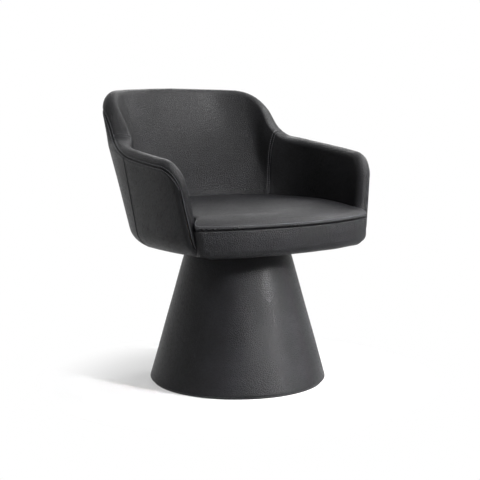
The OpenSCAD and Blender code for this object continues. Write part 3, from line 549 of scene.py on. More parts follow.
    def feet(self, t: Array) -> Array:
        """Foot of a line of the inner leather.

        Args:
            t: run of the edge at which the line starts.

        Returns:
            The foot as distance along the tub and height.
        """
        p, _ = self.spine(t)
        seam, _ = self.spine(np.array(self.t_notch))
        back = np.stack([p[..., 0] * self.seam_foot_x / seam[0], self.foot_z + 0 * t], axis=-1)
        k = np.clip((t - self.t_notch) / (self.t_foot - self.t_notch), 0, 1)
        arm = np.stack([mix(self.seam_foot_x, self.length - self.strip_w, k), self.foot_z + 0 * t], axis=-1)
        strip = np.stack([self.length - self.strip_w + 0 * t, p[..., 1]], axis=-1)
        out = np.where((t <= self.t_notch)[..., None], back, arm)
        return np.where((t > self.t_foot)[..., None], strip, out)

    def lining(self, t: Array, s: Array, depth: Array | float, side: float) -> Array:
        """Point of the inner leather.

        Args:
            t: run of the edge at which its line starts.
            s: distance along that line, 0 on the crest, positive towards the outer seam.
            depth: distance inwards from the leather's outside.
            side: sign of X.

        Returns:
            Points in millimetres: a run up the inside, bent towards its foot, then a half circle
            over the crest.
        """
        p, n = self.spine(t)
        feet = self.feet(t)
        quarter = self.crest * math.pi / 2
        a = np.clip(s / self.crest, -math.pi / 2, math.pi / 2)
        e = np.maximum(s - quarter, 0)
        below = np.maximum(-quarter - s, 0)
        k = np.clip(below / np.maximum(np.linalg.norm(p - feet, axis=-1), 1e-6), 0, 1)
        across = mix(feet[..., 0], p[..., 0], (1 - k) ** self.seam_bend)
        bent = np.stack([across, mix(p[..., 1], feet[..., 1], k)], axis=-1)
        q = self.crest - depth
        flat = np.where((s < -quarter)[..., None], bent, p + (q * np.cos(a) - e)[..., None] * n)
        seam_a = self.seam_drop_front / self.crest
        share = np.where(s < -quarter, 0.0, np.minimum((1 + np.sin(a)) / (1 + math.sin(seam_a)), 1))
        fill = self._notch_fill(t, a, below) + self._back_fill(t, p[..., 1], flat[..., 1]) * (s < -quarter)
        return self.sheet(side * flat[..., 0], flat[..., 1], q * np.sin(a) - self.crest - fill,
                          self.curl_r * share, self.curl_angle(flat[..., 1]))

    def _notch_fill(self, t: Array, a: Array, below: Array) -> Array:
        """Fullness of the corner inside the notch: a bell along the edge that fades downwards.

        Args:
            t: run of the edge.
            a: angle over the crest, negative inside.
            below: distance below the crest's round.

        Returns:
            How far the leather stands inwards.
        """
        bell = np.exp(-(((t - self.t_notch) / self.corner_fill_w) ** 2))
        full = self.corner_fill * bell * smooth(-a * 2 / math.pi)
        return full * (1 - smooth(below / self.corner_fill_down))

    def _back_fill(self, t: Array, top: Array, height: Array) -> Array:
        """Crown of the back: half a sine wave down the inside, which fades towards the notch.

        Args:
            t: run of the edge.
            top: height at which the wave starts.
            height: height of the point.

        Returns:
            How far the leather stands inwards.
        """
        fall = np.clip((top - height) / (top - self.crown_low), 0, 1)
        return self.back_crown * np.sin(math.pi * fall) * (1 - smooth(t / self.t_notch))

    def lining_low(self, t: Array) -> Array:
        """Distance along the inner leather at its hidden lower border."""
        p, _ = self.spine(t)
        return -self.crest * math.pi / 2 - np.linalg.norm(p - self.feet(t), axis=-1)

    def seam(self, t: Array) -> Array:
        """Length of leather from the crest to the sewn outer seam, which climbs the crest at the notch.

        The lengths stand at chosen runs of the edge and are blurred by a bell.

        Args:
            t: run of the edge, 1 mm to a step of the blur.

        Returns:
            Lengths in millimetres.
        """
        steps, weights = bell_weights(*self.seam_blur)
        soft = sum(w * np.interp(t + k, self.seam_runs, self.seam_lengths) for k, w in zip(steps, weights))
        return np.minimum(soft, self.drop(t))

    def wall_height(self, t: Array) -> Array:
        """Height from the start of the curl to the lowest line that the outer seam can take."""
        return self.seam_point(t, 0.0)[..., 1] - self.shell_z - self.curl_r

    def outside(self, t: Array, v: Array, depth: Array | float, side: Array | float, gap: float) -> Array:
        """Point of the outer leather from its sewn edge down.

        Args:
            t: run of the edge at which its column starts.
            v: share of the way from the sewn edge (0) to the start of the curl (1), then as in panel.
            depth: distance inwards from the leather's outside.
            side: sign of X.
            gap: distance of the border from the sewn seam.

        Returns:
            Points in millimetres: over the crest down to the drop, then straight down.
        """
        start, drop = self.seam(t) + gap, self.drop(t)
        wall = self.wall_height(t)
        d = np.clip(v, 0, 1) * (drop - start + wall)
        crest = self.lining(t, np.minimum(start + d, drop), depth, side)
        k = np.where(v < 1, np.clip((d - (drop - start)) / wall, 0, 1), v)
        return np.where((start + d < drop)[..., None], crest, self.panel(t, k, depth, side, 0.0))

    def seam_point(self, t: Array, gap: Array | float) -> Array:
        """Point of the sheet where the outer leather leaves the crest.

        Args:
            t: run of the edge.
            gap: how much further down the point lies.

        Returns:
            The point as distance along the tub and height.
        """
        s = self.drop(t) + gap
        a = np.minimum(s / self.crest, math.pi / 2)
        p, n = self.spine(t)
        return p + (self.crest * np.cos(a) - np.maximum(s - self.crest * math.pi / 2, 0))[..., None] * n

    def rear_foot(self, x: Array) -> Array:
        """Foot of an outer column: down the tub the rear seam leans towards the middle of the back.

        Args:
            x: distance along the tub at the column's top.

        Returns:
            The distance along the tub at its foot.
        """
        s = float(self.seam_point(np.array(self.t_rear), 0.0)[0])
        far = self.length - (self.length - x) * (self.length - self.rear_seam_x) / (self.length - s)
        return np.where(x < s, x * self.rear_seam_x / s, far)

    def panel(self, t: Array, k: Array, depth: Array | float, side: float, gap: float) -> Array:
        """Point of the outer leather.

        Args:
            t: run of the edge at which its column starts.
            k: share of the way down: 0 at the outer seam, 1 where the curl starts, 2 at the bottom of
                the curl and 3 at the end of the lip under the tub.
            depth: distance inwards from the leather's outside.
            side: sign of X.
            gap: distance of the border from the outer seam.

        Returns:
            Points in millimetres.
        """
        p = self.seam_point(t, gap)
        knee = self.shell_z + self.curl_r
        curl = np.clip(k - 1, 0, 1) * math.pi / 2
        z = np.where(k < 1, mix(p[..., 1], knee, np.clip(k, 0, 1)), knee - self.curl_r * np.sin(curl))
        x = mix(self.rear_foot(p[..., 0]), p[..., 0], (z - self.shell_z) / (p[..., 1] - self.shell_z))
        v = np.stack([x, z], axis=-1) - self.arm_centre
        near = (v[..., 0] > 0) & (v[..., 1] > 0)
        reach = np.where(near, self.arm_r - np.linalg.norm(v, axis=-1), self.length - x)
        n = np.where(near[..., None], unit(v), np.array([1.0, 0.0]))
        a = np.arccos(np.clip(1 - reach / self.crest, 0, 1))
        out = depth * np.cos(a)
        drop_z = np.where(k > 1, knee - (self.curl_r - depth) * np.sin(curl), z - out * n[..., 1])
        lip = np.clip(k - 2, 0, 1) * mix(self.lip_back, self.lip_front, self.corner_share(t))
        off = (self.crest - depth) * np.sin(a) - self.crest - lip
        return self.sheet(side * (x - out * n[..., 0]), drop_z, off, self.curl_r - depth, curl)


# Finishes


def linear(hex_code: str) -> tuple[float, float, float, float]:
    """Turns an sRGB hex colour into linear light.

    Args:
        hex_code: the colour, # and six hex digits.

    Returns:
        Red, green, blue and alpha.
    """
    c = np.array([int(hex_code[i : i + 2], 16) for i in (1, 3, 5)]) / 255
    c = np.where(c <= 0.04045, c / 12.92, ((c + 0.055) / 1.055) ** 2.4)
    return float(c[0]), float(c[1]), float(c[2]), 1.0


def add_node(tree: Tree, kind: str, links: dict | None = None, **settings: object) -> bpy.types.Node:
    """Adds a node.

    Args:
        tree: tree that gets the node.
        kind: its type.
        links: socket name or number to an output socket that feeds it, or to a value.
        settings: attributes of the node.

    Returns:
        The node.
    """
    node = tree.nodes.new(kind)
    for name, value in settings.items():
        setattr(node, name, value)
    for name, value in (links or {}).items():
        if isinstance(value, Socket):
            tree.links.new(value, node.inputs[name])
        else:
            node.inputs[name].default_value = value
    return node


def add_sum(tree: Tree, operation: str, a: Socket | float, b: Socket | float) -> Socket:
    """Adds a sum on two values, such as ADD or MULTIPLY, and returns its result."""
    return add_node(tree, "ShaderNodeMath", {0: a, 1: b}, operation=operation).outputs[0]


def empty_tree(owner: bpy.types.Material | bpy.types.World) -> Tree:
    """Turns on the nodes of a material or a world and clears them.

    Args:
        owner: the material or world.

    Returns:
        The empty tree.
    """
    owner.use_nodes = True
    owner.node_tree.nodes.clear()
    return owner.node_tree


class Look:
    """The material of one finish while it is drawn: its nodes, its shader and its coordinates."""

    def __init__(self, finish: "Finish") -> None:
        """Starts the material with its shader and the object's own coordinates.

        Args:
            finish: the finish that is drawn.
        """
        self.dark, self.light = linear(finish.dark), linear(finish.light)
        self.material = bpy.data.materials.new(finish.name)
        self.tree = empty_tree(self.material)
        self.place = self.add("ShaderNodeTexCoord").outputs["Object"]
        start = {"Metallic": finish.metallic, "Roughness": finish.roughness}
        self.shader = self.add("ShaderNodeBsdfPrincipled", start)
        self.add("ShaderNodeOutputMaterial", {"Surface": self.shader.outputs["BSDF"]})

    def add(self, kind: str, links: dict | None = None, **settings: object) -> bpy.types.Node:
        """Adds a node to the material, as add_node does."""
        return add_node(self.tree, kind, links, **settings)

    def feed(self, name: str, socket: Socket) -> None:
        """Joins a socket to the shader's input of that name."""
        self.tree.links.new(socket, self.shader.inputs[name])

    def join(self, operation: str, a: Socket | float, b: Socket | float) -> Socket:
        """Result of a sum on two values."""
        return add_sum(self.tree, operation, a, b)

    def noise(self, size_mm: float, detail: float = 3.0, place: Socket | None = None,
              output: str = "Fac") -> Socket:
        """Adds noise.

        Args:
            size_mm: width of its features, about.
            detail: number of finer layers.
            place: coordinates, if not the object's own.
            output: Fac for one value, Color for three.

        Returns:
            The noise.
        """
        place = self.place if place is None else place
        links = {"Vector": place, "Scale": 1000 / size_mm, "Detail": detail}
        return self.add("ShaderNodeTexNoise", links).outputs[output]

    def drawn_out(self, times: float) -> Socket:
        """Coordinates in which every feature is so many times longer along X than across it."""
        links = {"Vector": self.place, "Scale": (1.0, times, times)}
        return self.add("ShaderNodeMapping", links).outputs["Vector"]

    def wave(self, radian_mm: float, way: str, distortion: float = 0.0) -> Socket:
        """Adds stripes, as a sine wave.

        Args:
            radian_mm: length of one radian of the wave; stripes lie 2 pi times as far apart.
            way: axis across which they lie.
            distortion: how unevenly they run.

        Returns:
            The stripes, from 0 to 1.
        """
        radians_per_unit = 20
        scale = 1000 / radian_mm / radians_per_unit
        links = {"Vector": self.place, "Scale": scale, "Distortion": distortion}
        return self.add("ShaderNodeTexWave", links, bands_direction=way).outputs["Fac"]

    def ramp(self, share: Socket, low: float, high: float, to_low: float = 0.0,
             to_high: float = 1.0) -> Socket:
        """Stretches a share from low..high to to_low..to_high."""
        links = {"Value": share, "From Min": low, "From Max": high, "To Min": to_low, "To Max": to_high}
        return self.add("ShaderNodeMapRange", links).outputs["Result"]

    def spread(self, noise: Socket, low: float = 0.0, high: float = 1.0) -> Socket:
        """Stretches noise, most of which lies between 0.3 and 0.7, to low..high."""
        return self.ramp(noise, 0.3, 0.7, low, high)

    def colours(self, share: Socket) -> Socket:
        """Colour between dark and light by the share."""
        links = {"Factor": share, "A": self.dark, "B": self.light}
        return self.add("ShaderNodeMix", links, data_type="RGBA").outputs["Result"]

    def relief(self, height: Socket, depth_mm: float, base: Socket | None = None) -> Socket:
        """Gives the shader a bump.

        Args:
            height: heights from 0 to 1.
            depth_mm: what a height of 1 stands for.
            base: normal of a bump under this one.

        Returns:
            The normal.
        """
        links = {"Height": height, "Distance": depth_mm * MM, "Strength": 1.0}
        if base is not None:
            links["Normal"] = base
        out = self.add("ShaderNodeBump", links).outputs["Normal"]
        self.feed("Normal", out)
        return out


@dataclass(frozen=True)
class Finish:
    """A finish: a shader whose colour, roughness and relief are drawn by nodes in object space."""

    name: str
    dark: str
    light: str
    roughness: float = 0.5
    metallic: float = 0.0
    grain_mm: float = 3.0
    grain_depth_mm: float = 0.12
    mottle_mm: float = 60.0
    sheen_range: float = 0.08

    def build(self) -> bpy.types.Material:
        """Builds the material.

        Returns:
            The material, drawn.
        """
        look = Look(self)
        self.draw(look)
        return look.material

    def draw(self, look: Look) -> None:
        """Draws a mottled colour and a fine even relief.

        Args:
            look: the material that is drawn.
        """
        look.feed("Base Color", look.colours(look.spread(look.noise(self.mottle_mm))))
        fine = look.noise(self.grain_mm, 2.0)
        low, high = self.roughness - self.sheen_range, self.roughness + self.sheen_range
        look.feed("Roughness", look.ramp(fine, 0.2, 0.8, low, high))
        look.relief(fine, self.grain_depth_mm)


@dataclass(frozen=True)
class GrainLeather(Finish):
    """Pigmented cowhide with a fine pebbled grain: small rounded cells, satin on their tops.

    The real cells are about 1 mm wide. They are drawn about 5 mm wide, so that they show in the render.
    The gloss is held low, as on leather with a matt top coat.
    """

    warp_mm: float = 14.0
    warp_share: float = 0.0022
    cell_random: float = 0.9
    crease: float = 0.22
    # Share of the colour left in the creases: painted shade.
    crease_painted_shade: float = 0.45
    crease_dull: float = 0.2
    speck_mm: float = 5.0
    swell_mm: float = 22.0
    swell_depth_mm: float = 0.35
    gloss: float = 0.14

    def draw(self, look: Look) -> None:
        """Draws cells whose creases are darkened with painted shade, drifts of lighter finish, and a relief
        of two sizes.

        Args:
            look: the material that is drawn.
        """
        warp = look.noise(self.warp_mm, 2.0, output="Color")
        ends = {"Factor": self.warp_share, "A": look.place, "B": warp}
        bent = look.add("ShaderNodeMix", ends, data_type="VECTOR").outputs["Result"]
        links = {"Vector": bent, "Scale": 1000 / self.grain_mm, "Randomness": self.cell_random}
        cells = look.add("ShaderNodeTexVoronoi", links, feature="DISTANCE_TO_EDGE").outputs["Distance"]
        crease = look.ramp(cells, 0.0, self.crease)
        cloud = look.spread(look.noise(self.mottle_mm), 0.0, 0.5)
        speck = look.spread(look.noise(self.speck_mm, 4.0), 0.0, 0.5)
        # Painted shade: the creases between the cells are drawn darker than the cell tops.
        shade = look.ramp(crease, 0.0, 1.0, self.crease_painted_shade, 1.0)
        tone = look.join("MULTIPLY", look.join("ADD", cloud, speck), shade)
        look.feed("Base Color", look.colours(tone))
        dull = look.ramp(crease, 0.0, 1.0, self.roughness + self.crease_dull, self.roughness)
        look.feed("Roughness", dull)
        pebbled = look.relief(crease, self.grain_depth_mm)
        look.relief(look.noise(self.swell_mm), self.swell_depth_mm, pebbled)
        look.shader.inputs["Specular IOR Level"].default_value = self.gloss


@dataclass(frozen=True)
class TwistedThread(Finish):
    """Bonded polyester thread, mottled. Its colour is drawn lighter than the real dark thread, as a painted
    highlight, so that single stitches show.
    """


@dataclass(frozen=True)
class Plywood(Finish):
    """Birch plywood: pale veneers that show as stripes on every cut edge.

    The stripes are drawn about 9 mm apart, several times wider than real veneers.
    """

    ply_radian_mm: float = 1.4
    ply_wander: float = 1.2
    ply_share: float = 0.3
    figure_mm: float = 90.0
    figure_long: float = 9.0

    def draw(self, look: Look) -> None:
        """Draws stripes across the height over a drawn-out grain along X.

        Args:
            look: the material that is drawn.
        """
        grain = look.noise(self.figure_mm, 5.0, look.drawn_out(self.figure_long))
        figure = look.ramp(grain, 0.35, 0.65, 0.0, 1.0 - self.ply_share)
        plies = look.ramp(look.wave(self.ply_radian_mm, "Z", self.ply_wander), 0.0, 1.0, 0.0, self.ply_share)
        look.feed("Base Color", look.colours(look.join("ADD", figure, plies)))
        look.relief(grain, self.grain_depth_mm)


@dataclass(frozen=True)
class PlatedSteel(Finish):
    """Pressed steel with a zinc or black finish: fine drawn scratches, no mirror."""

    metallic: float = 1.0
    sheen_range: float = 0.1
    scratch_mm: float = 30.0
    scratch_long: float = 14.0

    def draw(self, look: Look) -> None:
        """Draws scratches along X, in the roughness and as a faint relief.

        Args:
            look: the material that is drawn.
        """
        scratch = look.noise(self.scratch_mm, 4.0, look.drawn_out(self.scratch_long))
        look.feed("Base Color", look.colours(look.noise(self.mottle_mm)))
        low, high = self.roughness - self.sheen_range, self.roughness + self.sheen_range
        look.feed("Roughness", look.spread(scratch, low, high))
        look.relief(scratch, self.grain_depth_mm)


@dataclass(frozen=True)
class WovenStrap(Finish):
    """Woven cloth or webbing: threads that cross over and under.

    They are drawn 7 to 10 mm apart, several times coarser than real ones.
    """

    thread_radian_mm: float = 1.6
    worn_least: float = 0.4

    def draw(self, look: Look) -> None:
        """Draws the weave as the product of two waves at right angles.

        Args:
            look: the material that is drawn.
        """
        along_x, along_y = (look.wave(self.thread_radian_mm, way) for way in ("X", "Y"))
        weave = look.join("MULTIPLY", along_x, along_y)
        tone = look.spread(look.noise(self.mottle_mm), self.worn_least, 1.0)
        look.feed("Base Color", look.colours(look.join("MULTIPLY", weave, tone)))
        look.relief(weave, self.grain_depth_mm)


class Finishes:
    """All finishes of the chair, built once, and how leather and thread are dressed with them."""

    stitch_depth: float = 0.4

    def __init__(self) -> None:
        """Builds every material."""
        made = [
            GrainLeather("charcoal_grain_leather", "#070708", "#1c1c1f", roughness=0.33, grain_mm=4.6,
                         grain_depth_mm=0.46),
            # Thread colours lighter than the real dark thread: a painted highlight along the seams.
            TwistedThread("charcoal_thread_painted_highlight", "#47474b", "#707075", roughness=0.55, grain_mm=1.2,
                          mottle_mm=2.0),
            Plywood("birch_plywood", "#b98d5a", "#e2c291", roughness=0.55, grain_depth_mm=0.05),
            PlatedSteel("zinc_plated_steel", "#9a9da1", "#c6c8cb", roughness=0.38, grain_depth_mm=0.02),
            PlatedSteel("black_oxide_steel", "#303236", "#4a4c50", roughness=0.42, grain_depth_mm=0.02),
            PlatedSteel("bearing_steel", "#c9cacc", "#e0e1e2", roughness=0.16, grain_depth_mm=0.004),
            Finish("natural_nylon", "#cfcfc8", "#e6e6e0", roughness=0.5, grain_mm=2.0, grain_depth_mm=0.03),
            WovenStrap("jute_webbing", "#5f4629", "#a98b5e", roughness=0.9, grain_depth_mm=0.3),
            WovenStrap("black_lining_cloth", "#0c0c0d", "#26262a", roughness=0.95, grain_depth_mm=0.15,
                       thread_radian_mm=1.1),
            Finish("black_rubber", "#121213", "#242426", roughness=0.7, grain_mm=1.2, grain_depth_mm=0.08),
        ]
        self.by_name = {f.name: f.build() for f in made}

    def put(self, piece: Piece, name: str) -> None:
        """Gives a piece the finish of that name."""
        piece.data.materials.clear()
        piece.data.materials.append(self.by_name[name])

    def cover(self, piece: Piece, nodes: Sequence[str], body: str, fill: float) -> None:
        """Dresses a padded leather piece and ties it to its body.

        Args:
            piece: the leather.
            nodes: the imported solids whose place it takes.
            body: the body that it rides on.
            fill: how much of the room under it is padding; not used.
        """
        self.put(piece, "charcoal_grain_leather")
        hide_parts(*nodes)
        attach(piece, body)

    def sew(self, name: str, path: Array, normals: Array, body: str) -> None:
        """Sews one row of stitches.

        Args:
            name: name of the row.
            path: points that it follows.
            normals: outward directions there.
            body: the body that it rides on.
        """
        row = stitch_row(name, path, normals)
        self.put(row, "charcoal_thread_painted_highlight")
        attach(row, body)

    def sew_into(self, name: str, place: Place, body: str) -> None:
        """Sews one row of stitches along a line of the leather, a little below its surface.

        Args:
            name: name of the row.
            place: gives the points of the line at a depth in the leather.
            body: the body that the row rides on.
        """
        path = place(self.stitch_depth)
        self.sew(name, path, unit(path - place(self.stitch_depth + 1.0)), body)


# Leather of the tub


@dataclass(frozen=True)
class SeamRelief:
    """Cross-section of the leather beside a sewn seam, as a depth for the distance from it."""

    valley: float = 2.4
    valley_w: float = 1.7
    row_at: float = 4.0
    row_depth: float = 0.3
    row_w: float = 1.2
    swell: float = 0.7
    swell_w: float = 5.0

    def depth(self, d: Array) -> Array:
        """Sum of three bells: the valley of the seam, the dent of the stitches and the swell beyond.

        Args:
            d: distance from the seam.

        Returns:
            Depths, negative where the leather swells; a bell is exp(-((d - middle) / width)^2).
        """
        beyond = d - self.row_at - self.swell_w
        valley = self.valley * np.exp(-((d / self.valley_w) ** 2))
        dent = self.row_depth * np.exp(-(((d - self.row_at) / self.row_w) ** 2))
        return valley + dent - self.swell * np.exp(-((beyond / self.swell_w) ** 2))


@dataclass(frozen=True)
class Unevenness:
    """How leather lies: long soft swells everywhere, and puckers that fade away from a seam."""

    swell: float
    swell_mm: float
    pucker: float
    pucker_mm: float
    fade_mm: float

    def depth(self, p: Array, seam: Array, seed: Seed) -> Array:
        """Depth swell * ripple + pucker * exp(-seam / fade) * ripple.

        Args:
            p: points of the leather.
            seam: their distance from the nearest seam.
            seed: picks the fixed unevenness.

        Returns:
            Depths in millimetres.
        """
        swells = self.swell * ripple(p, self.swell_mm, seed.value)
        near = np.exp(-seam / self.fade_mm)
        return swells + self.pucker * near * ripple(p, self.pucker_mm, seed.value + 1)


@dataclass
class TubLeather:
    """The leather of the tub: lining of the back, linings of the arms and the outer panels."""

    form: TubForm
    finishes: Finishes
    relief: SeamRelief = SeamRelief()
    plain_relief: SeamRelief = SeamRelief(valley=1.5, valley_w=1.8, row_depth=0.0, swell=0.3, swell_w=1.0)
    uneven: Unevenness = Unevenness(0.35, 95.0, 0.3, 13.0, 16.0)
    fill: float = 0.9
    seam_gap: float = 0.2
    proud: float = 1.5
    step: float = 5.0
    close_w: float = 18.0
    close_lines: int = 24
    lining_rows: int = 84
    sewing_step: float = 2.0
    right_row_from: float = 3.0
    row_end_gap: float = 6.0
    notch_row_low: float = 40.0
    notch_row_gap: float = 2.0

    def _depth(self, plain: Array, outer: Array, upright: Array, relief: SeamRelief, seed: Seed) -> Array:
        """Depth of the leather from its seams and its unevenness.

        Args:
            plain: points of the leather without relief.
            outer: their distance from the outer seam.
            upright: their distance from the nearest upright seam.
            relief: cross-section beside the upright seams.
            seed: picks the fixed unevenness.

        Returns:
            Depths in millimetres.
        """
        seams = self.relief.depth(outer) + relief.depth(upright)
        return seams + self.uneven.depth(plain, np.minimum(outer, upright), seed)

    def lining(self, name: str, t: Array, sides: Array, seams: Measure, seed: Seed) -> Piece:
        """Builds one lining as a closed skin: lines along t, rows from the hidden border to the seam.

        Args:
            name: name of the piece.
            t: run of the edge for each line.
            sides: sign of X for each line.
            seams: gives the distance from the upright seams for a grid of points.
            seed: picks the fixed unevenness.

        Returns:
            The piece.
        """
        eased = 1 - (1 - np.linspace(0, 1, self.lining_rows)) ** 1.5
        low, high = self.form.lining_low(t), self.form.seam(t) - self.seam_gap
        s = mix(low[None, :], high[None, :], eased[:, None])
        tt, side = np.broadcast_to(t, s.shape), np.broadcast_to(sides, s.shape)
        place = partial(self.form.lining, tt, s, side=side)
        plain = place(np.zeros_like(s))
        depth = self._depth(plain, self.form.seam(tt) - s, seams(plain), self.relief, seed)
        return leather_skin(name, place, depth, self.proud)

    def panel(self, name: str, t: Array, sides: Array, seams: Measure, seed: Seed) -> Piece:
        """Builds one outer panel as a closed skin, from the outer seam round under the tub.

        Args:
            name: name of the piece.
            t: run of the edge for each column.
            sides: sign of X for each column.
            seams: gives the distance from the upright seams for a grid of points.
            seed: picks the fixed unevenness.

        Returns:
            The piece.
        """
        wall, curl, lip = np.linspace(0, 1, 64) ** 1.4, np.linspace(1, 2, 18), np.linspace(2, 3, 5)
        k = np.concatenate([wall, curl[1:], lip[1:]])
        kk = np.broadcast_to(k[:, None], (len(k), len(t)))
        tt, side = np.broadcast_to(t, kk.shape), np.broadcast_to(sides, kk.shape)
        place = partial(self.form.outside, tt, kk, side=side, gap=self.seam_gap)
        plain = place(0.0)
        depth = self._depth(plain, run_lengths(plain, 0), seams(plain), self.plain_relief, seed)
        return leather_skin(name, place, depth, self.proud)

    def _cover(self, piece: Piece, *nodes: str) -> None:
        """Dresses one leather piece of the tub, which takes the place of the named solids."""
        self.finishes.cover(piece, nodes, "seat", self.fill)

    def build(self) -> None:
        """Builds all leather of the tub and its stitches."""
        form = self.form
        back, sides = self._both_halves(form.t_notch)
        pad = self.lining("back_pad", back, sides, from_both_ends, Seed.BACK_LINING)
        self._cover(pad, "back_lining", "back_foam")
        rear, sides = self._both_halves(form.t_rear)
        panel = self.panel("back_panel_leather", rear, sides, from_both_ends, Seed.BACK_PANEL)
        self._cover(panel, "back_panel", "outer_wadding")
        arm, outer = self._runs(form.t_notch, form.t_end), self._runs(form.t_rear, form.t_front)
        for side in Side:
            name, sign = side.name.lower(), side.value
            signs = np.full(len(arm), sign)
            pad = self.lining(f"{name}_arm_pad", arm, signs, from_first, Seed.ARM_LINING)
            self._cover(pad, f"{name}_arm_lining", f"{name}_arm_foam")
            signs = np.full(len(outer), sign)
            panel = self.panel(f"{name}_panel_leather", outer, signs, from_first, Seed.ARM_PANEL)
            self._cover(panel, f"{name}_panel")
            self._sew(side)

    def _runs(self, first: float, last: float) -> Array:
        """Runs of the edge that are closer together beside an upright seam.

        Args:
            first: run of the seam.
            last: run at the other end.

        Returns:
            The runs from first to last.
        """
        close = first + self.close_w * np.linspace(0, 1, self.close_lines) ** 1.3
        rest = np.linspace(close[-1], last, int((last - close[-1]) / self.step))
        return np.concatenate([close, rest[1:]])

    def _both_halves(self, last: float) -> tuple[Array, Array]:
        """Runs over the middle of the back.

        Args:
            last: the run at which both ends lie.

        Returns:
            The runs from one end over 0 to the other, and the sign of X of each.
        """
        half = last - self._runs(0.0, last)[::-1]
        runs = np.concatenate([half[:0:-1], half])
        return runs, np.concatenate([-np.ones(len(half) - 1), np.ones(len(half))])

    def _sew(self, side: Side) -> None:
        """Sews the rows of one side: along the outer seam and beside the seam from the notch down.

        Args:
            side: the side of the chair.
        """
        form, name, sign, row = self.form, side.name.lower(), side.value, self.relief.row_at
        start = 0.0 if side is Side.LEFT else self.right_row_from
        t = np.arange(start, form.t_end - self.row_end_gap, self.sewing_step)
        far = np.arange(start, form.t_front, self.sewing_step)
        below = row / (form.drop(far) - form.seam(far) + form.wall_height(far))
        notch = np.array(form.t_notch)
        low = float(form.lining_low(notch)) + self.notch_row_low
        s = np.arange(low, form.seam(notch) - self.notch_row_gap, self.sewing_step)
        places = {
            "outer_row_above": partial(form.lining, t, form.seam(t) - row, side=sign),
            "outer_row_below": partial(form.outside, far, below, side=sign, gap=self.seam_gap),
            "notch_row_back": partial(form.lining, np.full_like(s, form.t_notch - row), s, side=sign),
            "notch_row_arm": partial(form.lining, np.full_like(s, form.t_notch + row), s, side=sign),
        }
        for label, place in places.items():
            self.finishes.sew_into(f"{name}_{label}", place, "seat")


# Seat


